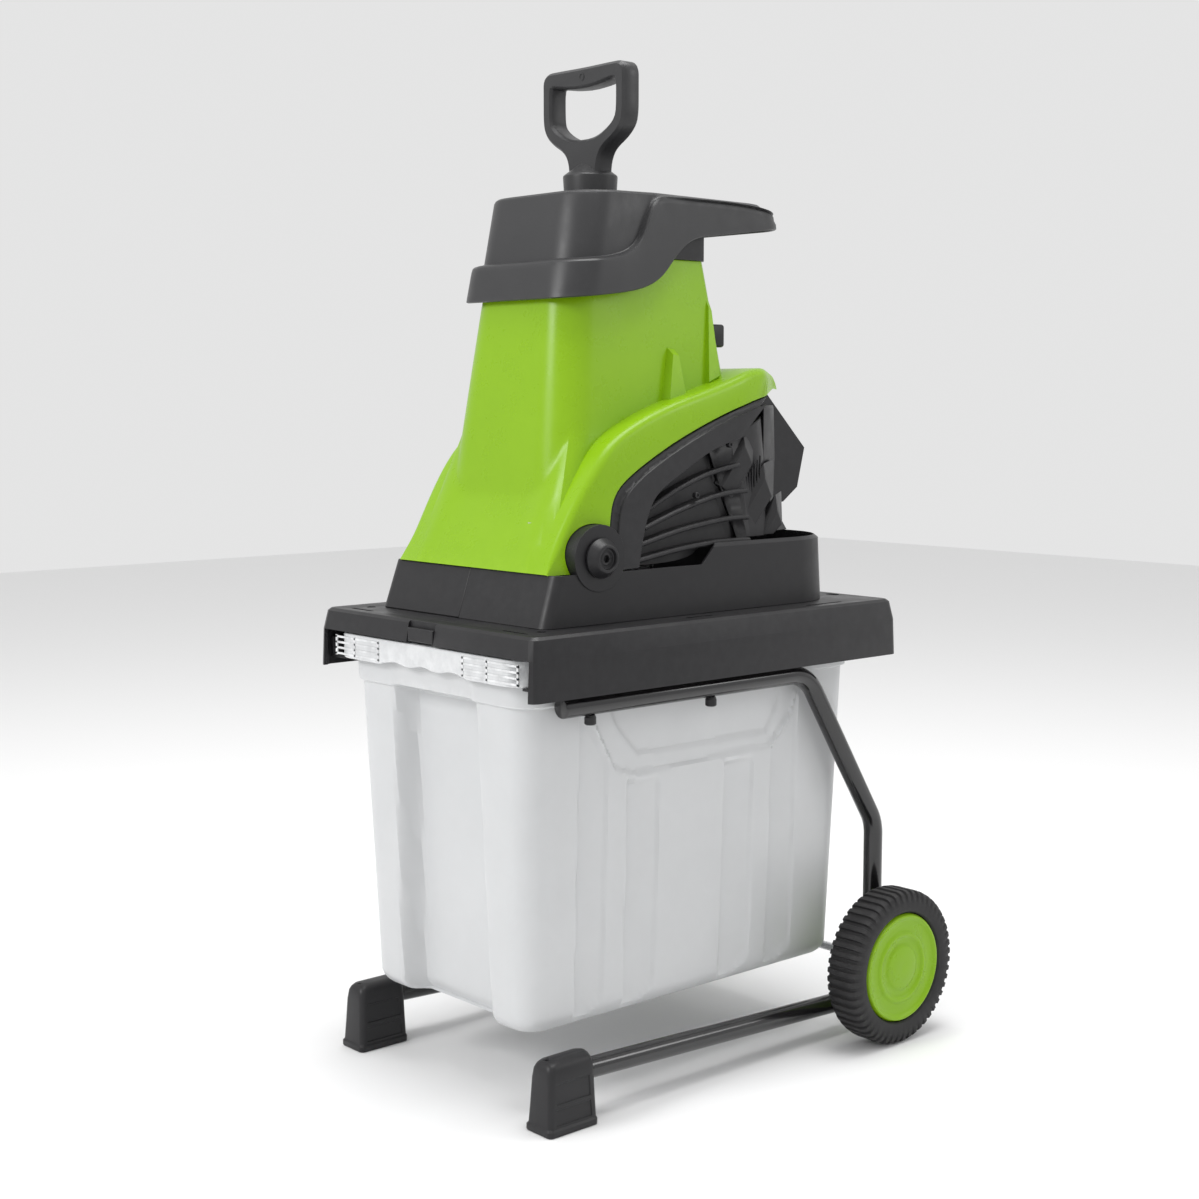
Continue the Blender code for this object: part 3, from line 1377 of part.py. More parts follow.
def make_pressure_plate():
    """Cast counter plate that the adjusting screw draws along two guide rods."""
    half = PRESSURE_PLATE_HEIGHT / 2
    outline = (
        (PRESSURE_X, MILL_Z - 0.010),
        (PRESSURE_X + 0.004, MILL_Z - half),
        (PRESSURE_BACK_X, MILL_Z - half),
        (PRESSURE_BACK_X, MILL_Z + half),
        (PRESSURE_X + 0.009, MILL_Z + half),
        (PRESSURE_X, MILL_Z + 0.006),
    )
    place = (PRESSURE_X, MILL_Y, MILL_Z)
    plate = prism_y("pressure_plate", outline, ROLLER_Y[0] + 0.001, ROLLER_Y[1] - 0.001, CAST, place)
    axis = (0.0, MILL_Y, MILL_Z)
    rod_start = PRESSURE_BACK_X - PLATE_GRIP
    bore_ends = (rod_start - PLATE_TRAVEL - RUN_GAP, PRESSURE_BACK_X + 0.02)
    cut(plate, rod_x("plate_bore", axis, SCREW_RADIUS + RUN_GAP, *bore_ends, CAST))
    guide = block(
        "pressure_plate_guide",
        (GUIDE_X, MILL_Y - 0.036, up(0.0060)),
        (GUIDE_X + GUIDE_THICKNESS, MILL_Y + 0.036, up(0.1040)),
        CAST,
    )
    room_ends = (GUIDE_X - 0.01, GUIDE_X + GUIDE_THICKNESS + 0.01)
    cut(guide, rod_x("guide_bore", axis, SCREW_RADIUS + RUN_GAP, *room_ends, CAST))
    for place_name, sign in (("front", -1), ("rear", 1)):
        centre = (0.0, MILL_Y + sign * GUIDE_ROD_SPREAD, MILL_Z)
        rod_ends = (rod_start, GUIDE_X + 0.001)
        rod = rod_x(f"guide_rod_{place_name}", centre, GUIDE_ROD_RADIUS, *rod_ends, CAST, 12)
        join(guide, rod)
        hole_radius = GUIDE_ROD_RADIUS + RUN_GAP
        cut(plate, rod_x(f"rod_hole_{place_name}", centre, hole_radius, *bore_ends, CAST, 12))


def make_adjuster():
    """Captive adjusting screw with its round knob and hexagon socket."""
    centre = (EAR_X + EAR_PROUD + RUN_GAP, MILL_Y, MILL_Z)
    knob = [
        (0.0, KNOB_RADIUS),
        (0.0030, KNOB_RADIUS),
        (KNOB_LENGTH * 0.85, KNOB_RADIUS * 0.74),
        (KNOB_LENGTH, KNOB_RADIUS * 0.66),
        (KNOB_LENGTH, KNOB_RADIUS * 0.40),
        (KNOB_LENGTH * 0.55, KNOB_RADIUS * 0.34),
        (KNOB_LENGTH * 0.55, KNOB_RADIUS * 0.10),
    ]
    turned("adjusting_knob", knob, BLACK, centre, "X", 32)
    start = PRESSURE_BACK_X - PLATE_GRIP
    rod_x("adjusting_screw", centre, SCREW_RADIUS, start, centre[0] - RUN_GAP, STEEL)


# --- motor ----------------------------------------------------------------
def make_motor(pinion):
    """Induction motor behind the gearbox, with its fan at the rear."""
    centre = (MOTOR_AXIS[0], 0.0, MOTOR_AXIS[1])
    turned(
        "motor_can",
        tube_profile(MOTOR_Y[0], MOTOR_Y[1], MOTOR_RADIUS - MOTOR_CAN_WALL, MOTOR_RADIUS),
        CAST,
        centre,
        "Y",
        32,
        True,
    )
    shaft = ROTOR_SHAFT_RADIUS
    bearing = shaft + BEARING_WALL
    shield = tube_profile(MOTOR_Y[1] + GAP, MOTOR_Y[1] + 0.0060, bearing + GAP, MOTOR_RADIUS)
    turned("motor_end_shield", shield, CAST, centre, "Y", 32, True)
    for name, y_low in (("motor_bearing_front", MOTOR_Y[0] + 0.002), ("motor_bearing_rear", MOTOR_Y[1])):
        ring = tube_profile(y_low, y_low + 0.0060, shaft + GAP, bearing)
        turned(name, ring, STEEL, centre, "Y", 20, True)
    inner = MOTOR_RADIUS - MOTOR_CAN_WALL - GAP
    stator = tube_profile(MOTOR_Y[0] + 0.0200, MOTOR_Y[1] - 0.0150, ROTOR_RADIUS + RUN_GAP, inner)
    turned("motor_stator", stator, COPPER, centre, "Y", 28, True)
    rotor = [
        (STAGE_Y[0][0] - 0.0010, shaft * 0.90),
        (MOTOR_Y[0] - 0.0050, shaft * 0.90),
        (MOTOR_Y[0] - 0.0040, shaft),
        (MOTOR_Y[0] + 0.0200, shaft),
        (MOTOR_Y[0] + 0.0220, ROTOR_RADIUS),
        (MOTOR_Y[1] - 0.0170, ROTOR_RADIUS),
        (MOTOR_Y[1] - 0.0150, shaft),
        (MOTOR_Y[1] + 0.0280, shaft),
    ]
    made = turned("motor_rotor", rotor, STEEL, centre, "Y", 24)
    join(made, pinion)
    outline = []
    for blade in range(FAN_BLADES):
        pitch = 2 * pi / FAN_BLADES
        for share, radius in ((0.0, 0.014), (0.12, FAN_RADIUS), (0.40, FAN_RADIUS), (0.62, 0.014)):
            angle = (blade + share) * pitch
            outline.append((MOTOR_AXIS[0] + radius * sin(angle), MOTOR_AXIS[1] + radius * cos(angle)))
    fan_y = MOTOR_Y[1] + 0.0120
    fan_place = (centre[0], fan_y, centre[2])
    fan = prism_y("cooling_fan", outline, fan_y, fan_y + FAN_THICKNESS, BLACK, fan_place)
    cut(fan, rod_y("fan_bore", centre, shaft + GAP, fan_y - 0.01, fan_y + 0.03, BLACK))
    capacitor = (-HOUSING_HALF_WIDTH + WALL + CAPACITOR_RADIUS + 0.0315, 0.0, up(0.0300))
    rod_y("run_capacitor", capacitor, CAPACITOR_RADIUS, 0.0200, 0.0900, BLACK)


# --- chute, hood, holder and plunger --------------------------------------
def chute_ring(height, half, front, back, inset=0.0, radius=0.010):
    return rounded_ring(
        half - inset, front + inset, back - inset, radius, radius, up(height), arc=3
    )


def make_feed_chute():
    """Inner chute from the hood down to the mill, with the neck flange round it."""
    top = (FEED_HALF + FEED_RIM, FEED_Y[0] - FEED_RIM, FEED_Y[1] + FEED_RIM)
    neck = (NECK_HALF, NECK_Y[0], NECK_Y[1])
    neck_low = TOWER_TOP + RUN_GAP
    bend_height = CHUTE_FOOT + 0.026
    levels = [
        (HOOD_TOP - 0.0080, *top),
        (neck_low + NECK_HEIGHT + 0.004, *top),
        (neck_low + WALL, *top),
        (TOWER_TOP - 0.0100, 0.0640, -0.1280, 0.0080),
        (0.2350, 0.0540, -0.1300, -0.0020),
        (0.2000, 0.0520, -0.1500, -0.0400),
        (bend_height, 0.0500, interpolate(TOWER_FRONT, bend_height) + 0.0112, -0.1100),
        (CHUTE_FOOT, 0.0450, interpolate(TOWER_FRONT, CHUTE_FOOT) + 0.0061, ROLLER_Y[1] + 0.014),
    ]
    outer = [chute_ring(*level) for level in levels]
    flange = [
        chute_ring(neck_low + NECK_HEIGHT, *top),
        chute_ring(neck_low + NECK_HEIGHT, *neck, radius=0.022),
        chute_ring(neck_low, *neck, radius=0.022),
        chute_ring(neck_low, *top),
    ]
    outer = outer[:2] + flange + outer[3:]
    inner = [chute_ring(*level, inset=CHUTE_WALL) for level in reversed(levels)]
    return lofted("feed_chute", outer + inner, BLACK, closed=True)


def hood_ring(inset, lean, table, lift=0.0, lower=False):
    """Hood outline from above: lean sets its front and back in further than its sides."""
    def height(_, y):
        return up(interpolate(table, y) + lift)

    ring = rounded_ring(
        HOOD_HALF - inset,
        HOOD_FRONT_Y + inset + lean,
        HOOD_BACK_Y - inset - lean * 0.25,
        0.030,
        0.045,
        height,
        arc=5,
        sides=12,
    )
    if lower:
        ring = [(x * interpolate(HOOD_FLARE, y), y, z) for x, y, z in ring]
    return ring


def make_hood():
    """Dark hood: flared lip, top deck with the feed opening, grip visor behind."""
    wall = HOOD_WALL

    def feed_ring(height):
        return rounded_ring(
            FEED_HALF, FEED_Y[0], FEED_Y[1], 0.012, 0.012, up(height), arc=5, sides=12
        )

    return lofted(
        "hood",
        [
            hood_ring(0.0000, 0.0000, LIP, lower=True),
            hood_ring(0.0020, 0.0070, RIDGE_LINE, lower=True),
            hood_ring(0.0050, 0.0080, RIDGE_LINE, 0.0015),
            hood_ring(0.0100, 0.0200, HOOD_TOP_LINE, -0.0030),
            hood_ring(0.0130, 0.0210, HOOD_TOP_LINE),
            feed_ring(HOOD_TOP),
            feed_ring(HOOD_TOP - wall),
            hood_ring(0.0100 + wall, 0.0200, HOOD_TOP_LINE, -wall - 0.0010),
            hood_ring(0.0050 + wall, 0.0080, RIDGE_LINE, -wall),
            hood_ring(0.0020 + wall, 0.0070, RIDGE_LINE, -wall * 2, lower=True),
            hood_ring(wall, 0.0000, LIP, lower=True),
        ],
        HOOD_GREY,
        closed=True,
    )


def make_cable_holder():
    """Wide hooked shelf on the back of the tower that the cord is wound over."""
    holder = block(
        "cable_holder",
        (-HOLDER_HALF_WIDTH, HOLDER_Y[0], up(HOLDER_H[0])),
        (HOLDER_HALF_WIDTH, HOLDER_Y[1], up(HOLDER_H[1])),
        BLACK,
    )
    groove = block(
        "holder_groove",
        (-HOLDER_HALF_WIDTH + 0.004, HOLDER_Y[0] + HOLDER_WALL, up(HOLDER_H[0]) + HOLDER_WALL),
        (HOLDER_HALF_WIDTH - 0.004, HOLDER_Y[1] - HOLDER_WALL, up(HOLDER_H[1]) + 0.01),
        BLACK,
    )
    bevel(holder, 0.003, 2)
    return cut(holder, groove)


def arc_points(centre, radius, start, end, steps):
    """Arc in the (x, z) plane, angles in degrees from +X towards +Z."""
    points = []
    for step in range(steps + 1):
        angle = radians(start + (end - start) * step / steps)
        points.append((centre[0] + radius * cos(angle), centre[1] + radius * sin(angle)))
    return points


def both_sides(right_half):
    """Closed outline from its right half, which runs from the bottom to the top."""
    return right_half + [(-x, z) for x, z in reversed(right_half)]


def make_plunger():
    """D-handle with its collar, and the ribbed pusher that hangs in the chute."""
    half = HANDLE_HALF_WIDTH
    top = up(HANDLE_TOP)
    waist = up(HOOD_TOP + 0.0330)
    shoulder = half - 0.0155
    outer = [(0.0240, waist - 0.012), (0.0270, waist + 0.008), (0.0360, waist + 0.020)]
    outer += [(shoulder, waist + 0.033), (half - 0.0050, waist + 0.046)]
    outer += [(half - 0.0005, waist + 0.060)]
    outer += arc_points((half - 0.0200, top - 0.0200), 0.0200, 0, 90, 4)
    inner = half - 0.0205
    opening = [(0.0090, waist + 0.0345), (inner - 0.0210, waist + 0.0400)]
    opening += [(inner - 0.0090, waist + 0.0500), (inner - 0.0015, waist + 0.0600)]
    opening += [(inner, top - 0.0270), (inner - 0.0040, top - 0.0190)]
    opening += [(0.0200, top - 0.0225)]
    low = PLUNGER_Y - HANDLE_THICKNESS / 2
    high = PLUNGER_Y + HANDLE_THICKNESS / 2
    place = (0.0, PLUNGER_Y, up(HOOD_TOP))
    handle = prism_y("plunger_handle", both_sides(outer), low, high, HOOD_GREY, place)
    bevel(handle, 0.0030, 2, 30)
    grip = prism_y("grip_opening", both_sides(opening), low - 0.01, high + 0.01, HOOD_GREY)
    collar_low = up(HOOD_TOP) - COLLAR_SINK
    collar = [
        (0.0, COLLAR_RADIUS * 0.95),
        (0.0250, COLLAR_RADIUS),
        (0.0280, COLLAR_RADIUS * 0.95),
        (0.0470, 0.0020),
    ]
    collar_solid = turned(
        "handle_collar", collar, HOOD_GREY, (0.0, PLUNGER_Y, collar_low), "Z", 28
    )
    cut(handle, grip)
    join(handle, collar_solid)
    pusher_top = collar_low - GAP
    pusher = block(
        "plunger_pusher",
        (-PUSHER_HALF, PLUNGER_Y - PUSHER_WEB, pusher_top - PUSHER_LENGTH),
        (PUSHER_HALF, PLUNGER_Y + PUSHER_WEB, pusher_top),
        BLACK,
        place,
    )
    web = block(
        "pusher_web",
        (-PUSHER_WEB, PLUNGER_Y - PUSHER_HALF, pusher_top - PUSHER_LENGTH),
        (PUSHER_WEB, PLUNGER_Y + PUSHER_HALF, pusher_top),
        BLACK,
    )
    foot_half = PUSHER_HALF + 0.004
    foot_z = pusher_top - PUSHER_LENGTH
    foot = block(
        "pusher_foot",
        (-foot_half, PLUNGER_Y - foot_half, foot_z - 0.008),
        (foot_half, PLUNGER_Y + foot_half, foot_z + 0.004),
        BLACK,
    )
    return join(pusher, web, foot)


# --- the object -----------------------------------------------------------
for which in SIDES:
    make_frame_tube(which)
    make_foot(which)
    make_axle_bracket(which)
    make_wheel(which)
    make_bin_rail(which)
    make_lower_housing(which)
    make_side_cover(which)
    for screw_end in SCREW_CAP_YS:
        make_frame_screw(which, screw_end)

make_axle()
make_base_plate()
make_bin()
make_bin_slider()
make_body_shell()
make_motor_cover()
make_control_box()
make_gearbox_case()
make_mill()
make_adjuster()
make_motor(make_gear_train())
make_feed_chute()
make_hood()
make_cable_holder()
make_plunger()
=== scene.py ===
"""Looks of a quiet garden shredder: wheeled tube frame, collecting bin, green shell, feed hood.

Metres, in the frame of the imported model: +Z up, the bin comes out at -Y, the knob is at +X.
"""

from math import cos, pi, radians, sin, sqrt, tan

import bmesh
import bpy
from mathutils import Matrix, Vector


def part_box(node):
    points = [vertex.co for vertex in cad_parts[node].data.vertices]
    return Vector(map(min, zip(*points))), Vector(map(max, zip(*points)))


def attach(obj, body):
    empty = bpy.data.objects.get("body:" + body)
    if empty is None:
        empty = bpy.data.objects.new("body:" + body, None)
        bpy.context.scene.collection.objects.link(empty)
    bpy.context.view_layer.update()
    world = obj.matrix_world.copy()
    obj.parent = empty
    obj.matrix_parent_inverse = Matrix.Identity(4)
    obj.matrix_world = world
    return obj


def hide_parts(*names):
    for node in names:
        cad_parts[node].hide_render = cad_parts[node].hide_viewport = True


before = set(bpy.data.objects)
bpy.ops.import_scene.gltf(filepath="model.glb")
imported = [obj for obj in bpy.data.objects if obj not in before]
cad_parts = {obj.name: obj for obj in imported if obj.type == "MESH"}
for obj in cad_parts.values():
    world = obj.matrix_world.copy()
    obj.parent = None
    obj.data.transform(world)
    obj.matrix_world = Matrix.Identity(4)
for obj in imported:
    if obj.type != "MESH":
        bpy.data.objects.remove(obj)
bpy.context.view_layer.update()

# --- Side tubes -----------------------------------------------------------------------
# Each side of the frame is one bent steel tube: along under the base tray, down a slant
# to the wheel, round a tight bend and forward to the foot. Cold bent, then enamelled
# gloss black. A moulded plug closes its front end.
TUBE_RADIUS = 0.0112
TUBE_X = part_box("frame_tube_right")[1].x - TUBE_RADIUS
TUBE_BEND = 0.050
TUBE_END_ROUND = 0.0026
TUBE_CORNERS = (
    (-0.2470, 0.4360), (0.1180, 0.4360), (0.2415, 0.2450), (0.2415, 0.0350), (-0.2425, 0.0545),
)


def ring_edges(bm, points):
    """A closed ring of edges through the points."""
    corners = [bm.verts.new(point) for point in points]
    return [bm.edges.new(pair) for pair in zip(corners, corners[1:] + corners[:1])]


def skinned(rings, closed=False):
    """A bmesh skinned over closed rings of points, extruded from one to the next."""
    bm = bmesh.new()
    first = edges = ring_edges(bm, rings[0])
    verts = [edge.verts[0] for edge in edges]
    for ring in rings[1:] + ([rings[0]] if closed else []):
        made = bmesh.ops.extrude_edge_only(bm, edges=edges)["geom"]
        fresh = {item for item in made if isinstance(item, bmesh.types.BMVert)}
        verts = [
            next(other for edge in vert.link_edges if (other := edge.other_vert(vert)) in fresh)
            for vert in verts
        ]
        for vert, point in zip(verts, ring):
            vert.co = point
        edges = [
            item for item in made
            if isinstance(item, bmesh.types.BMEdge) and fresh.issuperset(item.verts)
        ]
    if closed:
        bmesh.ops.remove_doubles(bm, verts=bm.verts, dist=0.0000001)
    else:
        for loop in (first, edges):
            bmesh.ops.contextual_create(bm, geom=loop)
    bmesh.ops.recalc_face_normals(bm, faces=bm.faces)
    return bm


def placed(name, data):
    """A new object in the scene."""
    item = bpy.data.objects.new(name, data)
    bpy.context.scene.collection.objects.link(item)
    return item


def shade(mesh, angle):
    """Smooth shading with sharp edges above an angle in degrees."""
    mesh.shade_smooth()
    mesh.set_sharp_from_angle(angle=radians(angle))


def joined(*parts):
    """One bmesh that holds the shapes of several."""
    whole = bmesh.new()
    for part in parts:
        held = bpy.data.meshes.new("held")
        part.to_mesh(held)
        part.free()
        whole.from_mesh(held)
        bpy.data.meshes.remove(held)
    return whole


def show(bm, name, material, node, body="frame", slot=None, angle=35):
    """The finished piece: shaded, riding on its body and standing for its CAD node.

    The slot argument is not used.
    """
    mesh = bpy.data.meshes.new(name)
    bm.to_mesh(mesh)
    bm.free()
    mesh.materials.append(material)
    shade(mesh, angle)
    piece = placed(name, mesh)
    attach(piece, body)
    slot or material.name.split(".")[0]
    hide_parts(node)
    return piece


def make_group(name, inputs, outputs):
    """A node group, with the values it is given, the outputs it fills and its coordinates."""
    group = bpy.data.node_groups.new(name, "ShaderNodeTree")
    for label, value in inputs:
        socket = group.interface.new_socket(label, in_out="INPUT", socket_type="NodeSocketFloat")
        socket.default_value = value
    for label in outputs:
        group.interface.new_socket(label, in_out="OUTPUT", socket_type="NodeSocketFloat")
    given = group.nodes.new("NodeGroupInput").outputs
    made = group.nodes.new("NodeGroupOutput").inputs
    return group, given, made, group.nodes.new("ShaderNodeTexCoord").outputs["Object"]


def feed(tree, sockets, values):
    """Gives each input socket its value: a socket to link, a colour or a number."""
    for socket, value in zip(sockets, values):
        if isinstance(value, bpy.types.NodeSocket):
            tree.links.new(value, socket)
        else:
            socket.default_value = (*value, 1.0) if isinstance(value, tuple) else value


def add_math(tree, operation, first, second, clamp=False):
    """A Math node."""
    node = tree.nodes.new("ShaderNodeMath")
    node.operation = operation
    node.use_clamp = clamp
    feed(tree, node.inputs, (first, second))
    return node.outputs[0]


def add_noise(tree, place, scale, detail, roughness=0.55):
    """A Noise texture."""
    node = tree.nodes.new("ShaderNodeTexNoise")
    sockets = [node.inputs[label] for label in ("Vector", "Scale", "Detail", "Roughness")]
    feed(tree, sockets, (place, scale, detail, roughness))
    return node.outputs["Fac"]


def add_range(tree, value, low, high, to_low=0.0, to_high=1.0):
    """A clamped Map Range node."""
    node = tree.nodes.new("ShaderNodeMapRange")
    node.clamp = True
    feed(tree, node.inputs, (value, low, high, to_low, to_high))
    return node.outputs[0]


def make_surface_grain():
    """Moulded or enamelled surface: fine grain, soft waviness and slow tone drift."""
    group, given, made, place = make_group(
        "surface_grain",
        (("Grain scale", 1400.0), ("Wave scale", 60.0), ("Wave share", 0.4)),
        ("Height", "Tone", "Polish"),
    )
    fine = add_noise(group, place, given["Grain scale"], 3.0, 0.6)
    wave = add_noise(group, place, given["Wave scale"], 2.0)
    drift = add_noise(group, place, 7.0, 4.0)
    patch = add_noise(group, place, 34.0, 5.0, 0.65)
    height = add_math(group, "ADD", fine, add_math(group, "MULTIPLY", wave, given["Wave share"]))
    both = add_math(group, "ADD", add_math(group, "MULTIPLY", patch, 0.4), drift)
    tone = add_range(group, both, 0.45, 0.95)
    feed(group, made, (height, tone, add_range(group, patch, 0.35, 0.65)))
    return group


def make_edge_wear_and_highlight():
    """Mask of outer edges, made lighter partly as rubbed plastic and partly as a painted highlight,
    broken up along their length.
    """
    group, given, made, place = make_group(
        "edge_wear_and_highlight", (("Start", 0.515), ("End", 0.56), ("Breakup scale", 90.0)), ("Mask",)
    )
    sharp = group.nodes.new("ShaderNodeNewGeometry").outputs["Pointiness"]
    edge = add_range(group, sharp, given["Start"], given["End"])
    broken = add_range(group, add_noise(group, place, given["Breakup scale"], 4.0), 0.35, 0.7)
    feed(group, made, [add_math(group, "MULTIPLY", edge, broken, True)])
    return group


def make_settled_dust():
    """Mask of fine dust on surfaces that face up, and a little on all the others."""
    group, given, made, place = make_group(
        "settled_dust", (("Amount", 0.2), ("Patch scale", 22.0)), ("Mask",)
    )
    facing = group.nodes.new("ShaderNodeSeparateXYZ")
    feed(group, facing.inputs, [group.nodes.new("ShaderNodeNewGeometry").outputs["Normal"]])
    upward = add_range(group, facing.outputs["Z"], 0.2, 0.95, 0.12, 1.0)
    patch = add_noise(group, place, given["Patch scale"], 6.0, 0.7)
    cover = add_math(group, "MULTIPLY", upward, add_range(group, patch, 0.4, 0.72))
    feed(group, made, [add_math(group, "MULTIPLY", cover, given["Amount"], True)])
    return group


SURFACE_GRAIN = make_surface_grain()
EDGE_WEAR_AND_HIGHLIGHT = make_edge_wear_and_highlight()
SETTLED_DUST = make_settled_dust()


def place_group(tree, group, **values):
    """A node group placed in a material, with its own values."""
    node = tree.nodes.new("ShaderNodeGroup")
    node.node_tree = group
    for label, value in values.items():
        node.inputs[label.replace("_", " ")].default_value = value
    return node


def add_mix(tree, share, first, second):
    """A colour mix."""
    node = tree.nodes.new("ShaderNodeMix")
    node.data_type = "RGBA"
    feed(tree, [node.inputs[0], node.inputs[6], node.inputs[7]], (share, first, second))
    return node.outputs[2]


def make_finish(
    name, light, dark, roughness, metallic=0.0, coat=0.0, grain=1400.0, depth=0.00006,
    waves=60.0, wave_share=0.4, worn_and_highlit=None, wear=(0.515, 0.56), dust=0.10, specular=0.5,
    dust_colour=(0.30, 0.28, 0.24), gloss_spread=0.10,
):
    """A finish with grain, tone drift, lighter edges that are partly rubbed and partly a painted
    highlight, and a little dust.
    """
    material = bpy.data.materials.new(name)
    material.use_nodes = True
    tree = material.node_tree
    shader = tree.nodes["Principled BSDF"]
    shader.inputs["Metallic"].default_value = metallic
    shader.inputs["Coat Weight"].default_value = coat
    shader.inputs["Coat Roughness"].default_value = 0.08
    shader.inputs["Specular IOR Level"].default_value = specular
    surface = place_group(
        tree, SURFACE_GRAIN, Grain_scale=grain, Wave_scale=waves, Wave_share=wave_share
    )
    # Convex edges take a lighter colour: partly rubbed plastic, partly a painted highlight.
    edges = place_group(tree, EDGE_WEAR_AND_HIGHLIGHT, Start=wear[0], End=wear[1])
    settled = place_group(tree, SETTLED_DUST, Amount=dust)
    colour = add_mix(tree, surface.outputs["Tone"], dark, light)
    worn_and_highlit = worn_and_highlit or tuple(min(1.0, level * 1.15 + 0.002) for level in light)
    colour = add_mix(tree, edges.outputs["Mask"], colour, worn_and_highlit)
    colour = add_mix(tree, settled.outputs["Mask"], colour, dust_colour)
    tree.links.new(colour, shader.inputs["Base Color"])
    spread = gloss_spread / 2
    polish = add_range(
        tree, surface.outputs["Polish"], 0.0, 1.0, roughness - spread, roughness + spread
    )
    dulled = add_math(tree, "MULTIPLY", settled.outputs["Mask"], 0.35)
    rough = add_math(tree, "ADD", polish, dulled, True)
    tree.links.new(rough, shader.inputs["Roughness"])
    bump = tree.nodes.new("ShaderNodeBump")
    bump.inputs["Strength"].default_value = 1.0
    bump.inputs["Distance"].default_value = depth
    tree.links.new(surface.outputs["Height"], bump.inputs["Height"])
    tree.links.new(bump.outputs["Normal"], shader.inputs["Normal"])
    return material


def filleted(corners, radius, steps):
    """A path in (y, z) whose inner corners are arcs."""
    path = [Vector(corners[0])]
    for before, corner, after in zip(corners, corners[1:], corners[2:]):
        corner = Vector(corner)
        to_before = (Vector(before) - corner).normalized()
        to_after = (Vector(after) - corner).normalized()
        half = to_before.angle(to_after) / 2
        centre = corner + (to_before + to_after).normalized() * radius / sin(half)
        start = corner + to_before * radius / tan(half) - centre
        end = corner + to_after * radius / tan(half) - centre
        for step in range(steps + 1):
            path.append(centre + start.lerp(end, step / steps).normalized() * radius)
    path.append(Vector(corners[-1]))
    return path


def tube_rings(path, x, radius, count=28):
    """Circles round a path in (y, z) at one x, each square to the path."""
    rings = []
    for place, point in enumerate(path):
        ahead = path[min(place + 1, len(path) - 1)] - path[max(place - 1, 0)]
        across = Vector((ahead.y, -ahead.x)).normalized()
        ring = []
        for step in range(count):
            turn = 2 * pi * step / count
            place = point + across * radius * sin(turn)
            ring.append((x + radius * cos(turn), place.x, place.y))
        rings.append(ring)
    return rings


black_enamel = make_finish(
    "black_enamel", (0.0085, 0.0080, 0.0090), (0.0060, 0.0055, 0.0065), 0.20, coat=0.4,
    grain=500.0, depth=0.00002, waves=45.0, wave_share=1.2, dust=0.05, gloss_spread=0.06,
)
tube_path = filleted(TUBE_CORNERS, TUBE_BEND, 14)
for side, x in (("left", -TUBE_X), ("right", TUBE_X)):
    tube = skinned(tube_rings(tube_path, x, TUBE_RADIUS))
    end_edges = [
        edge for edge in tube.edges
        if all(abs(vert.co.y - TUBE_CORNERS[0][0]) < 1e-6 for vert in edge.verts)
    ]
    bmesh.ops.bevel(
        tube, geom=end_edges, offset=TUBE_END_ROUND, segments=4, profile=0.5, affect="EDGES",
        material=-1,
    )
    show(tube, f"side_tube_{side}", black_enamel, f"frame_tube_{side}")

# --- Feet -----------------------------------------------------------------------------
# A moulded foot holds the front end of each lower tube in a blind socket. Black
# polypropylene, injection moulded, with a flared sole and a shallow panel on each face.
black_plastic = make_finish(
    "black_plastic", (0.0150, 0.0146, 0.0160), (0.0130, 0.0126, 0.0140), 0.40, dust=0.02,
    specular=0.35,
)


def rounded_outline(half_x, front, back, r_front, r_back, arc=6, across=1, along=1):
    """Rounded rectangle from above as (x, y), anticlockwise from the back right corner."""
    arcs = []
    for quarter, (x, y, radius) in enumerate((
        (half_x - r_back, back - r_back, r_back), (-half_x + r_back, back - r_back, r_back),
        (-half_x + r_front, front + r_front, r_front), (half_x - r_front, front + r_front, r_front),
    )):
        turns = [(quarter + step / arc) * pi / 2 for step in range(arc + 1)]
        arcs.append([(x + radius * cos(turn), y + radius * sin(turn)) for turn in turns])
    outline = []
    for own, following, count in zip(arcs, arcs[1:] + arcs[:1], (across, along) * 2):
        (x, y), (to_x, to_y) = own[-1], following[0]
        outline += own
        outline += [
            (x + (to_x - x) * step / count, y + (to_y - y) * step / count)
            for step in range(1, count)
        ]
    return outline


FOOT_LEVELS = (  # height, inset, corner radius
    (0.0000, 0.0006, 0.0050), (0.0012, 0.0000, 0.0055), (0.0060, 0.0000, 0.0055),
    (0.0082, 0.0016, 0.0055), (0.0300, 0.0028, 0.0060), (0.0560, 0.0040, 0.0065),
    (0.0660, 0.0052, 0.0070), (0.0705, 0.0070, 0.0075), (0.0738, 0.0100, 0.0080),
    (0.0752, 0.0140, 0.0085), (0.0755, 0.0165, 0.0040),
)
LEAST_PANEL = 0.0006  # square metres
for side in ("left", "right"):
    low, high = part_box(f"foot_{side}")
    middle_x = (low.x + high.x) / 2
    rings = []
    for height, inset, radius in FOOT_LEVELS:
        outline = rounded_outline(
            (high.x - low.x) / 2 - inset, low.y + inset, high.y - inset * 0.3, radius, radius
        )
        rings.append([(middle_x + x, y, height) for x, y in outline])
    foot = skinned(rings)
    panels = [
        face for face in foot.faces
        if face.calc_area() > LEAST_PANEL and abs(face.normal.z) < 0.3
    ]
    for thickness, depth in ((0.0034, 0.0), (0.0009, -0.0011)):
        bmesh.ops.inset_individual(foot, faces=panels, thickness=thickness, depth=depth)
    show(foot, f"tube_foot_{side}", black_plastic, f"foot_{side}", angle=28)

# --- Screw caps, axle and brackets ----------------------------------------------------
# Four round caps cover the screws that hold the tray to the tubes. A plain steel axle
# runs through two plates welded to the tubes' inner sides. The caps are moulded; the
# plates are punched sheet, enamelled with the tubes.
machined_steel = make_finish(
    "machined_steel", (0.62, 0.63, 0.64), (0.46, 0.47, 0.48), 0.28, metallic=1.0,
    grain=900.0, depth=0.00002, dust=0.05,
)


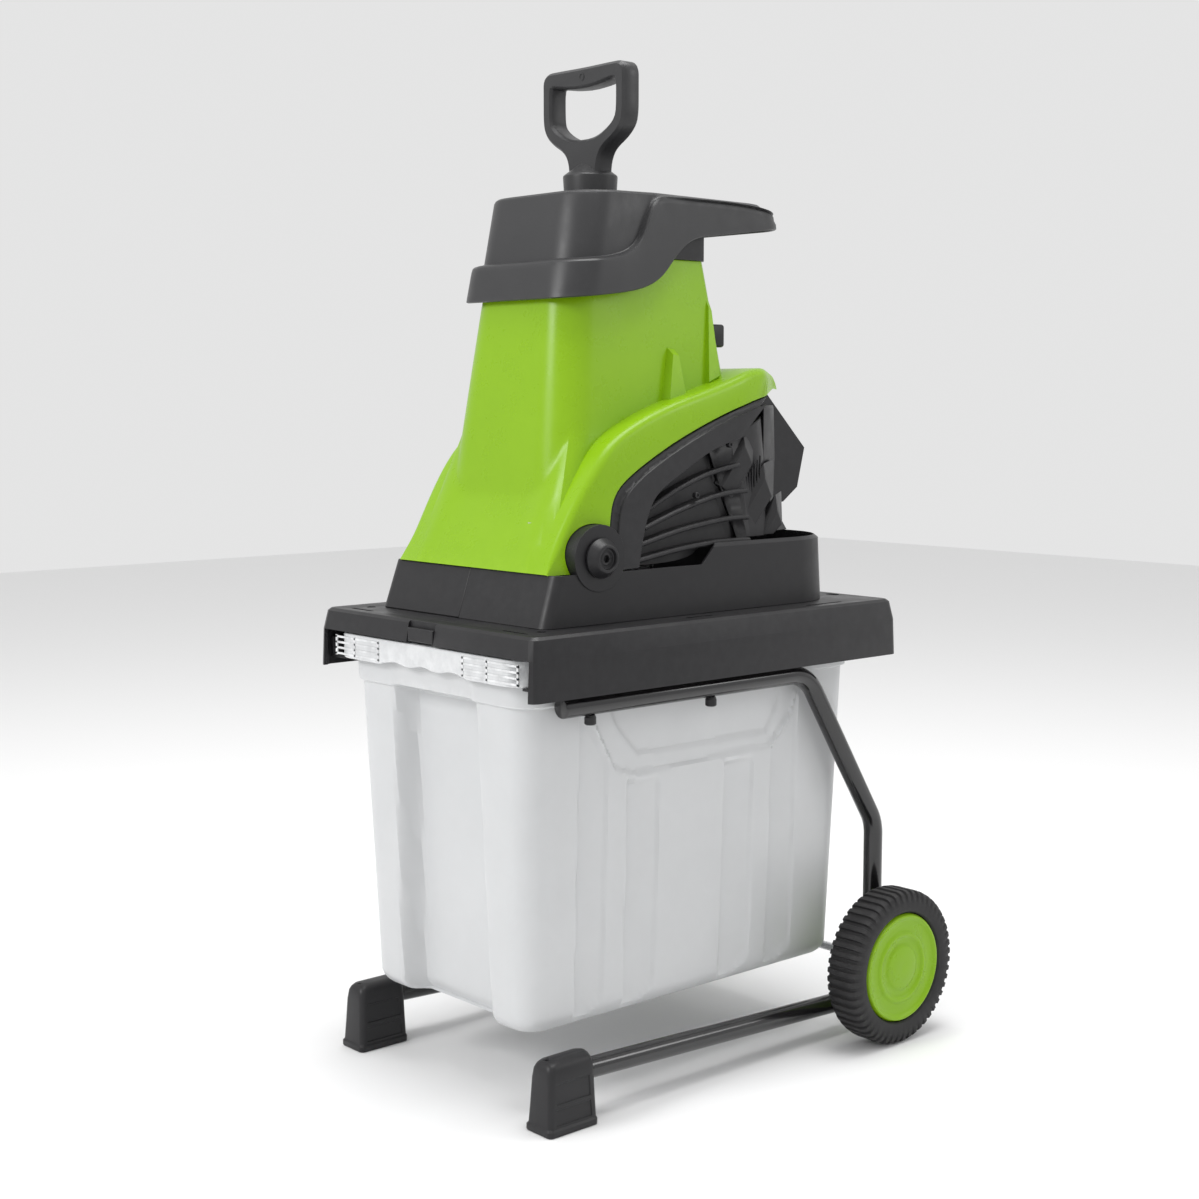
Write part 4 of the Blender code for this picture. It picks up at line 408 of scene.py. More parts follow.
def cad_copy(node, flat=1.0):
    """The CAD node's shape with its doubled points merged and its flat faces whole."""
    bm = bmesh.new()
    bm.from_mesh(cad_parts[node].data)
    bmesh.ops.remove_doubles(bm, verts=bm.verts, dist=0.00001)
    bmesh.ops.dissolve_limit(
        bm, angle_limit=radians(flat), use_dissolve_boundaries=False, verts=bm.verts,
        edges=bm.edges, delimit=set(),
    )
    bmesh.ops.recalc_face_normals(bm, faces=bm.faces)
    return bm


def rounded(piece, width, segments=3, angle=30):
    """A live bevel on the piece's sharper edges."""
    modifier = piece.modifiers.new("rounded_edges", "BEVEL")
    modifier.width = width
    modifier.segments = segments
    modifier.limit_method = "ANGLE"
    modifier.angle_limit = radians(angle)
    modifier.harden_normals = False
    return piece


def machined(name, node, bevel, material=black_plastic, flat=1.0, segments=2, body="frame",
             slot=None, angle=35):
    """A piece with its CAD node's own shape, its edges softened by a bevel."""
    piece = show(cad_copy(node, flat), name, material, node, body, slot, angle)
    return rounded(piece, bevel, segments)


def middle_of(node):
    """The middle of a node's box, as three numbers."""
    return [(low + high) / 2 for low, high in zip(*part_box(node))]


AXES = {"X": (1, 0, 0), "Y": (0, 1, 0), "Z": (0, 0, 1)}


def turned(profile, axis, centre, count):
    """Turned shape: profile holds (along, radius) pairs on an axis named X, Y or Z."""
    along_axis, centre = Vector(AXES[axis]), Vector(centre)
    outward = Vector((0, 1, 0)) if axis != "Y" else Vector((0, 0, 1))
    bm = bmesh.new()
    verts = [
        bm.verts.new(centre + along_axis * along + outward * radius) for along, radius in profile
    ]
    edges = [bm.edges.new(pair) for pair in zip(verts, verts[1:])]
    bmesh.ops.spin(
        bm, geom=verts + edges, cent=centre, axis=along_axis, angle=2 * pi, steps=count,
        use_merge=True,
    )
    bmesh.ops.remove_doubles(bm, verts=bm.verts, dist=0.000001)
    rims = [edge for edge in bm.edges if edge.is_boundary]
    if rims:
        bmesh.ops.holes_fill(bm, edges=rims, sides=0)
    bmesh.ops.recalc_face_normals(bm, faces=bm.faces)
    return bm


CAP_PROFILE = (
    (0.0000, 0.0046), (0.0004, 0.0054), (0.0014, 0.0062), (0.0078, 0.0062),
    (0.0086, 0.0056), (0.0100, 0.0053),
)
for side in ("left", "right"):
    for end in ("front", "rear"):
        screw = f"frame_screw_{end}_{side}"
        x, y, _ = middle_of(screw)
        cap = turned(CAP_PROFILE, "Z", (x, y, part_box(screw)[0].z), 32)
        show(cap, f"screw_cap_{end}_{side}", black_plastic, screw)
    machined(f"axle_plate_{side}", f"axle_bracket_{side}", 0.0006, black_enamel)
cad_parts["axle"].material_slots[0].material = machined_steel

# --- Wheels ---------------------------------------------------------------------------
# A hard rubber tyre with a cross-cut tread is pressed on a green hub, whose dished cap
# hides the end of the axle. The tyre's lugs step down on to its sidewall.
LUGS = 52
LUG_DEPTH = 0.0022
LUG_SLANT = 0.0008
LUG_STEPS = ((0.00, 0.0), (0.10, 1.0), (0.56, 1.0), (0.66, 0.0))  # share of the pitch, height
TYRE_HALF = (  # along the axle, radius, share of the lug depth
    (-0.0180, 0.0642, 0.0), (-0.0205, 0.0660, 0.0), (-0.0218, 0.0690, 0.0),
    (-0.0220, 0.0760, 0.0), (-0.0216, 0.0790, 0.35), (-0.0215, 0.0830, 1.0),
    (-0.0200, 0.0868, 1.0), (-0.0170, 0.0890, 1.0), (-0.0130, 0.0900, 1.0),
)
TYRE_SECTION = TYRE_HALF + ((0.0, 0.0900, 1.0),)
TYRE_SECTION += tuple((-along, radius, tread) for along, radius, tread in reversed(TYRE_HALF))
# The tyre's lighter edge colour is partly rubbing and partly a painted highlight.
tyre_rubber = make_finish(
    "tyre_rubber", (0.0200, 0.0195, 0.0205), (0.0150, 0.0145, 0.0155), 0.62, grain=2200.0,
    depth=0.00012, worn_and_highlit=(0.030, 0.029, 0.030), dust=0.04, specular=0.35,
)
# The green's lighter edge colour is partly rubbing and partly a painted highlight.
green_plastic = make_finish(
    "green_plastic", (0.225, 0.420, 0.0035), (0.205, 0.392, 0.0030), 0.30, depth=0.00004,
    worn_and_highlit=(0.27, 0.48, 0.015), wear=(0.53, 0.62), dust=0.02, dust_colour=(0.45, 0.47, 0.30),
    specular=0.32,
)
HUB_PROFILE = (  # from the inner side to the middle of the outer face
    (-0.0120, 0.0160), (-0.0120, 0.0575), (-0.0165, 0.0590), (-0.0170, 0.0630),
    (0.0160, 0.0633), (0.0185, 0.0626), (0.0204, 0.0612), (0.0208, 0.0596),
    (0.0201, 0.0580), (0.0184, 0.0560), (0.0176, 0.0540), (0.0176, 0.0440),
    (0.0180, 0.0425), (0.0190, 0.0412), (0.0196, 0.0396), (0.0196, 0.0376),
    (0.0190, 0.0360), (0.0180, 0.0350), (0.0172, 0.0330), (0.0170, 0.0290),
    (0.0173, 0.0268), (0.0185, 0.0252), (0.0190, 0.0236), (0.0190, 0.0060),
    (0.0189, 0.0030), (0.0188, 0.0000),
)
for side, sign in (("left", -1), ("right", 1)):
    middle_x, wheel_y, wheel_z = middle_of(f"wheel_tyre_{side}")
    rings = []
    for lug in range(LUGS):
        for share, raised in LUG_STEPS:
            turn = 2 * pi * (lug + share) / LUGS
            ring = []
            for along, radius, tread in TYRE_SECTION:
                lowered = tread * (1 - raised)
                reach = radius - LUG_DEPTH * lowered
                x = middle_x + along - LUG_SLANT * lowered * (1 if along > 0 else -1)
                ring.append((x, wheel_y + reach * cos(turn), wheel_z + reach * sin(turn)))
            rings.append(ring)
    show(
        skinned(rings, closed=True), f"tyre_{side}", tyre_rubber, f"wheel_tyre_{side}",
        f"wheel_{side}", angle=24,
    )
    profile = [(sign * along, radius) for along, radius in HUB_PROFILE]
    hub = turned(profile, "X", (middle_x, wheel_y, wheel_z), 72)
    show(hub, f"hub_{side}", green_plastic, f"wheel_hub_{side}", f"wheel_{side}")

# --- Base tray ------------------------------------------------------------------------
# The body stands on an open-bottomed tray, which rests on the tubes and holds the rails
# of the bin. One injection moulding in black polypropylene, with leaning sides, a
# doorway for the bin and a recess for the safety slider.
PLATE_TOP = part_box("base_plate")[1].z


def combine(piece, operation, tools, use_self):
    """Adds each tool shape to a piece for good, or takes it out."""
    for tool in tools:
        mesh = bpy.data.meshes.new("tool")
        tool.to_mesh(mesh)
        tool.free()
        helper = placed("tool", mesh)
        modifier = piece.modifiers.new("shape", "BOOLEAN")
        modifier.operation = operation
        modifier.solver = "EXACT"
        modifier.use_self = use_self
        modifier.object = helper
        bpy.context.view_layer.update()
        graph = bpy.context.evaluated_depsgraph_get()
        made = bpy.data.meshes.new_from_object(piece.evaluated_get(graph))
        made.name = piece.name
        piece.modifiers.clear()
        piece.data = made
        bpy.data.objects.remove(helper)


def cut_out(piece, *tools):
    """Takes each tool shape out of a piece for good."""
    combine(piece, "DIFFERENCE", tools, True)


def slot_tool(centre, half_x, half_y, depth):
    """A round-ended slot cutter from above the tray's top."""
    radius = min(half_x, half_y) * 0.98
    outline = rounded_outline(half_x, -half_y, half_y, radius, radius)
    rings = [
        [(centre[0] + x, centre[1] + y, z) for x, y in outline]
        for z in (PLATE_TOP - depth, PLATE_TOP + 0.01)
    ]
    return skinned(rings)


tray = show(cad_copy("base_plate"), "base_tray", black_plastic, "base_plate")
TRAY_SLOTS = (  # middle x and y, half width, half length, depth; each has a twin at -x
    (-0.1345, -0.2780, 0.0200, 0.0024, 0.0015),
    (-0.1490, -0.2560, 0.0052, 0.0052, 0.0030),
    (0.1600, -0.0440, 0.0024, 0.0200, 0.0015),
    (0.1060, 0.2330, 0.0090, 0.0060, 0.0012),
    (0.1660, 0.1500, 0.0024, 0.0300, 0.0015),
)
for x, y, *sizes in TRAY_SLOTS:
    cut_out(tray, slot_tool((x, y), *sizes), slot_tool((-x, y), *sizes))
rounded(tray, 0.0014, 3, 32)

# --- Bin rails, safety slider and switch ----------------------------------------------
# Two moulded angle strips in the tray carry the rim of the bin. The slider in the front
# recess drops behind the rim to hold it, and works the switch behind. All black
# mouldings.
for side in ("left", "right"):
    machined(f"rail_{side}", f"bin_rail_{side}", 0.0006)
machined("safety_slider", "bin_safety_slider", 0.0010, segments=3, body="safety_slider")
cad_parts["bin_interlock_switch"].material_slots[0].material = black_plastic

# --- Collecting bin -------------------------------------------------------------------
# A thin-walled tub that holds about 60 litres, with a turned-down rim that is also the
# grip. Blow-soft white polyethylene, which lets some light through; its panels, flutes
# and pocket stiffen the walls.
BIN_LOW, BIN_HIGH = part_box("collecting_bin")
BIN_WALL = 0.0026
BIN_RIM = 0.0275
BIN_REACH = 0.0135
BIN_BOTTOM = BIN_LOW.z
BIN_TOP = BIN_HIGH.z
BIN_TOP_HALF = BIN_HIGH.x - BIN_REACH
BIN_TAPER = 0.0125
BIN_FRONT = BIN_LOW.y + BIN_REACH
BIN_LEAN = 0.0150
BIN_BACK = BIN_HIGH.y - BIN_REACH
BIN_CORNER = 0.030
BIN_TOE = 0.020  # height of the round between floor and walls
BIN_TUCK = 0.018  # how far that round draws the walls in
BIN_COLLAR = 0.0035  # step out of the wall under the rim
COLLAR_LOW = 0.4335
COLLAR_HIGH = 0.4360
FLUTES = ((-0.2050, -0.1630), (-0.1360, -0.0880), (0.0100, 0.0580), (0.0850, 0.1280))
FLUTE_DEPTH = 0.0065
PANEL_DEPTH = 0.0250


def ease(value, low, high):
    """Smooth step from 0 at low to 1 at high."""
    share = min(1.0, max(0.0, (value - low) / (high - low)))
    return share * share * (3 - 2 * share)


def read(table, value):
    """Straight-line reading of (place, size) pairs."""
    if value <= table[0][0]:
        return table[0][1]
    for (a, first), (b, second) in zip(table, table[1:]):
        if value <= b:
            return first + (second - first) * (value - a) / (b - a)
    return table[-1][1]


POCKET_UPPER = ((-0.200, 0.432), (-0.188, 0.417), (-0.153, 0.356), (-0.120, 0.347),
                (0.081, 0.352), (0.114, 0.386), (0.130, 0.432))
POCKET_INNER = ((-0.165, 0.432), (-0.150, 0.400), (-0.120, 0.368), (0.078, 0.367),
                (0.096, 0.395), (0.108, 0.432))


def flute_sink(y, z):
    """How deep a side wall sinks at a place: sharp at a flute's front, fading behind."""
    under_pocket = ease(read(POCKET_UPPER, y) - z, 0.004, 0.012)
    above_bottom = ease(z, BIN_BOTTOM + 0.006, BIN_BOTTOM + 0.016)
    sunk = 0.0
    for front, back in FLUTES:
        rounded_end = 0.020 * (1 - ease(z, BIN_BOTTOM + 0.010, BIN_BOTTOM + 0.032))
        back -= rounded_end
        if front <= y <= back:
            entry = ease(y, front, front + 0.0025)
            fade = 1 - ((y - front) / (back - front)) ** 1.4 * 0.72
            leave = 1 - ease(y, back - 0.0035, back)
            sunk = max(sunk, entry * fade * leave)
    return FLUTE_DEPTH * sunk * under_pocket * above_bottom


def pocket_sink(y, z):
    """The handle pocket in a side wall: a band round it, then its floor."""
    band = ease(z - read(POCKET_UPPER, y), 0.0, 0.004)
    floor = ease(z - read(POCKET_INNER, y), 0.0, 0.005)
    inside = ease(y, -0.200, -0.192) * (1 - ease(y, 0.122, 0.130))
    return (0.0030 * band + 0.0025 * floor) * inside


def panel_sink(x, z):
    """The front's middle panel, between the rounded corner columns."""
    share = (z - BIN_BOTTOM) / (BIN_TOP - BIN_BOTTOM)
    half = 0.0700 - 0.0080 * share
    across = 1 - ease(abs(x), half - 0.004, half + 0.012)
    height = ease(z, BIN_BOTTOM - 0.004, BIN_BOTTOM + 0.004) * (1 - ease(z, 0.4280, 0.4400))
    return PANEL_DEPTH * across * height


def bin_outline(half, front, back, corner):
    """A level of the bin from above, with enough points for its flutes and panels."""
    return rounded_outline(half, front, back, corner, corner, arc=8, across=56, along=150)


def bin_ring(z, inset):
    """One level of the bin's wall, with the sinks of its four sides."""
    share = min(1.0, max(0.0, (z - BIN_BOTTOM) / (BIN_TOP - BIN_WALL - BIN_BOTTOM)))
    half = BIN_TOP_HALF - BIN_TAPER * (1 - share)
    front = BIN_FRONT + BIN_LEAN * (1 - share)
    back = BIN_BACK - BIN_TAPER * (1 - share)
    toe = max(0.0, 1 - (z - BIN_BOTTOM) / BIN_TOE)
    tuck = BIN_TUCK * (1 - sqrt(max(0.0, 1 - toe * toe)))
    corner = BIN_CORNER - 0.008 * toe
    collar = BIN_COLLAR * ease(z, COLLAR_LOW, COLLAR_HIGH)
    near = 0.004
    ring = []
    for x, y in bin_outline(half - inset - tuck, front + inset + tuck, back - inset - tuck, corner):
        if y - (front + tuck) < near and abs(x) < half - corner:
            y += panel_sink(x, z)
        elif abs(x) > half - tuck - inset - near and front + corner < y < back - corner:
            sink = flute_sink(y, z) + pocket_sink(y, z)
            x -= sink if x > 0 else -sink
        if collar and abs(x) < half - 0.001:
            y += -collar if y < 0 else collar
        if collar and abs(x) > half - corner:
            x += collar if x > 0 else -collar
        ring.append((x, y, z))
    return ring


def box_between(low, high):
    """A block between two corners."""
    low, high = Vector(low), Vector(high)
    bm = bmesh.new()
    bmesh.ops.create_cube(bm, size=1.0)
    bmesh.ops.scale(bm, verts=bm.verts, vec=high - low)
    bmesh.ops.translate(bm, verts=bm.verts, vec=(low + high) / 2)
    return bm


POCKET_TOP = 0.4270
levels = [BIN_BOTTOM + BIN_TOE * (1 - cos(step / 6 * pi / 2)) for step in range(7)]
levels += [BIN_BOTTOM + BIN_TOE + 0.0055 * step for step in range(1, 8)]
levels += [levels[-1] + 0.0150 * step for step in range(1, 13)]
levels += [levels[-1] + (POCKET_TOP - levels[-1]) * step / 26 for step in range(1, 27)]
levels += [0.4300, COLLAR_LOW, 0.4345, COLLAR_HIGH, 0.4375, 0.4600, BIN_TOP - BIN_WALL - 0.0010]
outer = [bin_ring(z, 0.0) for z in levels]
inner = [bin_ring(z + BIN_WALL * (1 if z < 0.43 else 0.3), BIN_WALL) for z in levels[:-1]]
RIM_LOW = BIN_TOP - BIN_RIM
GRIP_WAVE = 0.05  # length of one finger's wave under the rim's front


def rim_ring(z, reach):
    """A level of the turned-down rim, reach out from the wall."""
    ring = []
    for x, y in bin_outline(BIN_TOP_HALF + reach, BIN_FRONT - reach, BIN_BACK + reach, BIN_CORNER):
        grip = z < RIM_LOW + 0.006 and y < BIN_FRONT and abs(x) < 0.076
        ring.append((x, y, z + (0.0030 + 0.0016 * cos(x * 2 * pi / GRIP_WAVE) if grip else 0.0)))
    return ring


rim = [
    rim_ring(z, reach) for z, reach in (
        (BIN_TOP - BIN_WALL, BIN_REACH - BIN_WALL), (RIM_LOW + 0.0030, BIN_REACH - BIN_WALL),
        (RIM_LOW + 0.0010, BIN_REACH - BIN_WALL + 0.0004), (RIM_LOW, BIN_REACH - 0.0008),
        (RIM_LOW + 0.0010, BIN_REACH), (BIN_TOP - 0.0012, BIN_REACH),
        (BIN_TOP - 0.0003, BIN_REACH - 0.0006), (BIN_TOP, BIN_REACH - 0.0016),
        (BIN_TOP, -BIN_WALL),
    )
]
bin_shell = skinned(outer + rim + inner[::-1])


# The bin's much lighter edge colour is partly rubbing and partly a painted highlight.
white_plastic = make_finish(
    "white_translucent_plastic", (0.60, 0.61, 0.62), (0.56, 0.57, 0.58), 0.36, grain=1100.0,
    depth=0.00005, waves=30.0, wave_share=0.8, worn_and_highlit=(0.86, 0.87, 0.88), wear=(0.53, 0.60),
    dust=0.06, dust_colour=(0.62, 0.60, 0.55),
)
white_shader = white_plastic.node_tree.nodes["Principled BSDF"]
white_shader.inputs["Subsurface Weight"].default_value = 0.15
white_shader.inputs["Subsurface Radius"].default_value = (0.030, 0.032, 0.034)
white_shader.inputs["Subsurface Scale"].default_value = 0.6

RIM_BLOCKS = ((-0.1600, -0.0770), (0.0700, 0.1620))
RIB_WIDE = 0.0026
RIB_TALL = 0.0022
rib_front, rib_back = BIN_LOW.y - 0.0006, BIN_LOW.y + 0.0010
blocks = []
for x_low, x_high in RIM_BLOCKS:
    for rib in range(4):
        z = RIM_LOW + 0.0030 + rib * 0.0062
        blocks.append(box_between((x_low, rib_front, z), (x_high, rib_back, z + RIB_TALL)))
    for x in (x_low, (x_low + x_high) / 2 - 0.006, x_high - RIB_WIDE):
        z = RIM_LOW + 0.0022
        blocks.append(
            box_between((x, rib_front, z), (x + RIB_WIDE, rib_back, BIN_TOP - 0.0030))
        )
show(joined(bin_shell, *blocks), "bin", white_plastic, "collecting_bin", "bin", angle=30)

# --- Lower housing --------------------------------------------------------------------
# Two black half shells screwed to the tray round the mill, split down the middle. The
# right half carries the round ear that the adjusting knob sits on.
KNOB_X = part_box("adjusting_knob")[0].x
_, KNOB_Y, KNOB_Z = middle_of("adjusting_knob")
EAR_RADIUS = 0.0346


def ear_disc(start, end, radius):
    """A disc on the knob's axis, between two places along it from the knob's seat."""
    return turned(((start, radius), (end, radius)), "X", (KNOB_X, KNOB_Y, KNOB_Z), 64)


for side in ("left", "right"):
    shapes = [cad_copy(f"lower_housing_{side}", 2.0)]
    if side == "right":
        shapes.append(ear_disc(-0.0220, -0.0040, EAR_RADIUS))
    half = show(
        joined(*shapes), f"housing_half_{side}", black_plastic, f"lower_housing_{side}", angle=25
    )
    rounded(half, 0.0016)

# --- Adjusting knob -------------------------------------------------------------------
# A round moulded knob with a cone-shaped rim and a hexagon socket for a key. It is
# pressed on the adjusting screw and turns with it.
KNOB_PROFILE = (
    (0.0000, 0.0000), (0.0000, 0.0200), (0.0004, 0.0208), (0.0012, 0.0210), (0.0028, 0.0210),
    (0.0036, 0.0204), (0.0100, 0.0160), (0.0116, 0.0148), (0.0123, 0.0138), (0.0125, 0.0126),
    (0.0122, 0.0116), (0.0112, 0.0110), (0.0085, 0.0106), (0.0080, 0.0098), (0.0080, 0.0074),
    (0.0084, 0.0068), (0.0088, 0.0060), (0.0090, 0.0000),
)
SOCKET_REACH = 0.0044  # from the middle to a corner of the hexagon
hexagon = [
    (KNOB_Y + SOCKET_REACH * cos(radians(turn)), KNOB_Z + SOCKET_REACH * sin(radians(turn)))
    for turn in range(0, 360, 60)
]
socket = [[(x, y, z) for y, z in hexagon] for x in (KNOB_X + 0.0045, KNOB_X + 0.02)]
knob_piece = show(
    turned(KNOB_PROFILE, "X", (KNOB_X, KNOB_Y, KNOB_Z), 64), "knob", black_plastic,
    "adjusting_knob", "adjuster", angle=28,
)
cut_out(knob_piece, skinned(socket))
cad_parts["adjusting_screw"].material_slots[0].material = machined_steel

# --- Green shell ----------------------------------------------------------------------
# The feed tower, which flares towards the front, and the arched cover over the gears and
# motor are one injection moulding in green plastic, about 3.5 mm thick. It is screwed to
# the lower housing from inside.
SHELL_WALL = 0.0035
TOWER_TOP = 0.3845
TOWER_FOOT = 0.0540
TOWER_FRONT = -0.2325
STEEP = (  # height above the tray, half width, front, back, front corner radius
    (0.0540, 0.1140, -0.2040, 0.0400, 0.042),
    (0.1270, 0.1060, -0.1941, 0.0500, 0.042),
    (0.1950, 0.0985, -0.1850, 0.0550, 0.041),
    (0.2400, 0.0940, -0.1790, 0.0660, 0.040),
    (0.3330, 0.0840, -0.1665, 0.0520, 0.038),
    (TOWER_TOP, 0.0790, -0.1560, 0.0435, 0.036),
)


def tower_outline(half, front, back, radius, inset):
    """A level of the tower from above, drawn in by the inset."""
    return rounded_outline(
        half - inset, front + inset, back - inset, radius - inset * 0.7, 0.012, arc=10, across=26,
        along=16,
    )


def steep_sizes(height):
    """The upper tower's half width, front, back and front corner radius at a height."""
    return [read([(row[0], row[column]) for row in STEEP], height) for column in range(1, 5)]


KINK_HIGH = 0.1985
KINK_LOW = 0.1285


def kink_height(x, y, front):
    """Where the flared skirt meets the upper tower: low in the middle, high at the sides."""
    if y > front + 0.040:
        return KINK_HIGH
    return min(KINK_HIGH, KINK_LOW + 0.0700 * (abs(x) / 0.094) ** 6)


def tower_rings(inset):
    """The tower's levels, from the foot of its skirt to its top."""
    def steep_point(height, number):
        return tower_outline(*steep_sizes(height), inset)[number]

    middle = tower_outline(*steep_sizes(0.160), inset)
    front = min(y for _, y in middle)
    columns = []
    for number, (x, y) in enumerate(tower_outline(0.1260, TOWER_FRONT, 0.0, 0.034, inset)):
        kink = kink_height(*middle[number], front)
        rise = kink - TOWER_FOOT
        levels = [TOWER_FOOT + rise * share for share in (0, 0.3, 0.6, 0.85, 0.94, 1)]
        levels += [kink + step for step in (0.004, 0.010)]
        levels += [kink + 0.010 + (TOWER_TOP - kink - 0.010) * step / 12 for step in range(1, 13)]
        kink_x, kink_y = steep_point(kink, number)
        column = []
        for level in levels:
            share = (level - TOWER_FOOT) / rise
            if share <= 1:
                point = (x + (kink_x - x) * share, y + (kink_y - y) * share)
            else:
                point = steep_point(level, number)
            column.append(Vector((*point, PLATE_TOP + level)))
        for _ in range(2):
            eased = [
                (column[i - 1] + column[i] * 2 + column[i + 1]) / 4 if 3 <= i <= 8 else column[i]
                for i in range(len(column) - 1)
            ]
            column = eased + [column[-1]]
        columns.append(column)
    return [list(level) for level in zip(*columns)]


def smooth_line(points, count, passes=3):
    """A line through a few points, its corners cut smooth, with evenly spaced points."""
    line = [Vector(point) for point in points]
    for _ in range(passes):
        cut_line = [line[0]]
        for first, second in zip(line, line[1:]):
            cut_line += [first.lerp(second, 0.25), first.lerp(second, 0.75)]
        line = cut_line[:1] + cut_line[2:-1] + [line[-1]]
    lengths = [0.0]
    for first, second in zip(line, line[1:]):
        lengths.append(lengths[-1] + (second - first).length)
    spaced = []
    for step in range(count):
        target = lengths[-1] * step / (count - 1)
        number = max(i for i, length in enumerate(lengths[:-1]) if length <= target + 1e-9)
        share = (target - lengths[number]) / max(lengths[number + 1] - lengths[number], 1e-9)
        spaced.append(line[number].lerp(line[number + 1], min(1.0, share)))
    return spaced


RIDGE = (
    (-0.2320, 0.0540), (-0.1940, 0.1230), (-0.1650, 0.1650), (-0.1370, 0.1940),
    (-0.0650, 0.2250), (0.0330, 0.2500), (0.0880, 0.2700), (0.1560, 0.2620), (0.1630, 0.2440),
)
ARCH = (
    (-0.1600, 0.0540), (-0.1530, 0.1000), (-0.1470, 0.1280), (-0.1280, 0.1480),
    (-0.0650, 0.1810), (0.0020, 0.2080), (0.0710, 0.2300), (0.1410, 0.2440),
)


def cover_half(y, height):
    """Half width of the arched cover, narrower up, in front and behind."""
    half = 0.1420 - 0.09 * (height - 0.0535)
    half -= 0.0140 * ease(-y, 0.150, 0.235)
    half -= read(((0.060, 0.0), (0.100, 0.0050), (0.140, 0.0330), (0.165, 0.0480)), y)
    return half


ridge_line = smooth_line(RIDGE, 60)
arch_line = smooth_line(ARCH, 60)
RIDGE_ROUND = 0.0095
ARCH_ROUND = 0.0016


def cover_solid():
    """The arched cover as one solid across the machine."""
    outline = ridge_line + arch_line[::-1]
    count = len(ridge_line)
    levels = []
    for turn in (0, 18, 36, 54, 72, 90):
        sunk = 1 - cos(radians(turn))
        short = 1 - sin(radians(turn))
        ring = []
        for number, point in enumerate(outline):
            on_ridge = number < count
            before = outline[max(number - 1, 0 if on_ridge else count)]
            after = outline[min(number + 1, count - 1 if on_ridge else 2 * count - 1)]
            along = (after - before).normalized()
            inward = Vector((along.y, -along.x))
            radius = RIDGE_ROUND if on_ridge else ARCH_ROUND
            radius *= ease(min(number % count, count - 1 - number % count), -2.0, 5.0)
            place = point + inward * radius * sunk
            ring.append((place, cover_half(point.x, point.y) - radius * short))
        levels.append(ring)
    loops = []
    for sign, order in ((-1, reversed(levels)), (1, levels)):
        for ring in order:
            loops.append([(sign * x, point.x, PLATE_TOP + point.y) for point, x in ring])
    bm = bmesh.new()
    edges = [ring_edges(bm, loop) for loop in loops]
    for first, second in zip(edges, edges[1:]):
        bmesh.ops.bridge_loops(bm, edges=first + second)
    for loop in (edges[0], edges[-1]):
        bmesh.ops.bridge_loops(bm, edges=loop[: count - 1] + loop[count : 2 * count - 1])
    bmesh.ops.recalc_face_normals(bm, faces=bm.faces)
    return bm


def cover_inside():
    """The room inside the arched cover."""
    line = []
    for before, point, after in zip(ridge_line, ridge_line[1:], ridge_line[2:]):
        along = (after - before).normalized()
        line.append(point + Vector((along.y, -along.x)) * SHELL_WALL)
    line = [point for point in line if point.x < 0.1600]
    line = [Vector((line[0].x, 0.0))] + line + [Vector((line[-1].x, 0.0))]
    halves = [cover_half(point.x, max(point.y, 0.03)) - SHELL_WALL for point in line]
    return skinned([
        [(sign * half, point.x, PLATE_TOP + point.y) for half, point in zip(halves, line)]
        for sign in (-1, 1)
    ])


def join_in(piece, *tools):
    """Makes each tool shape part of a piece for good."""
    combine(piece, "UNION", tools, False)


def stretched(rings, reach):
    """The same rings with one more below and one above."""
    first = [(x, y, z - reach) for x, y, z in rings[0]]
    last = [(x, y, z + reach) for x, y, z in rings[-1]]
    return [first, *rings, last]


def side_wedge(sign, corners, proud):
    """A tapered rib standing on the tower's side: corners hold (y, height) pairs."""
    rings = []
    for lift, shrink in ((-0.004, 1.0), (proud, 0.72)):
        middle = sum((Vector(corner) for corner in corners), Vector((0, 0))) / len(corners)
        ring = []
        for corner in corners:
            point = middle + (Vector(corner) - middle) * shrink
            half = steep_sizes(corner[1])[0]
            ring.append((sign * (half + lift), point.x, PLATE_TOP + point.y))
        rings.append(ring)
    return skinned(rings)


SHELL_SHARP = 26
shell = show(
    skinned(tower_rings(0.0)), "green_shell", green_plastic, "body_shell", angle=SHELL_SHARP
)
WEDGES = (  # corners as (y, height), and how far each rib stands out
    (((-0.046, 0.205), (-0.006, 0.222), (-0.014, 0.290), (-0.026, 0.292)), 0.010),
    (((0.026, 0.235), (0.050, 0.245), (0.046, 0.345), (0.040, 0.350)), 0.0045),
)
join_in(
    shell, cover_solid(),
    *[side_wedge(sign, corners, proud) for sign in (-1, 1) for corners, proud in WEDGES],
)
arch_room = [(point.x, point.y - 0.0006) for point in arch_line]
arch_room = [(arch_room[0][0], 0.02)] + arch_room + [(arch_room[-1][0], 0.02)]
cut_out(
    shell,
    skinned(stretched(tower_rings(SHELL_WALL), 0.02)),
    cover_inside(),
    skinned([[(x, y, PLATE_TOP + height) for y, height in arch_room] for x in (-0.16, 0.16)]),
    ear_disc(-0.028, 0.016, EAR_RADIUS + 0.0009),
)
shade(shell.data, SHELL_SHARP)

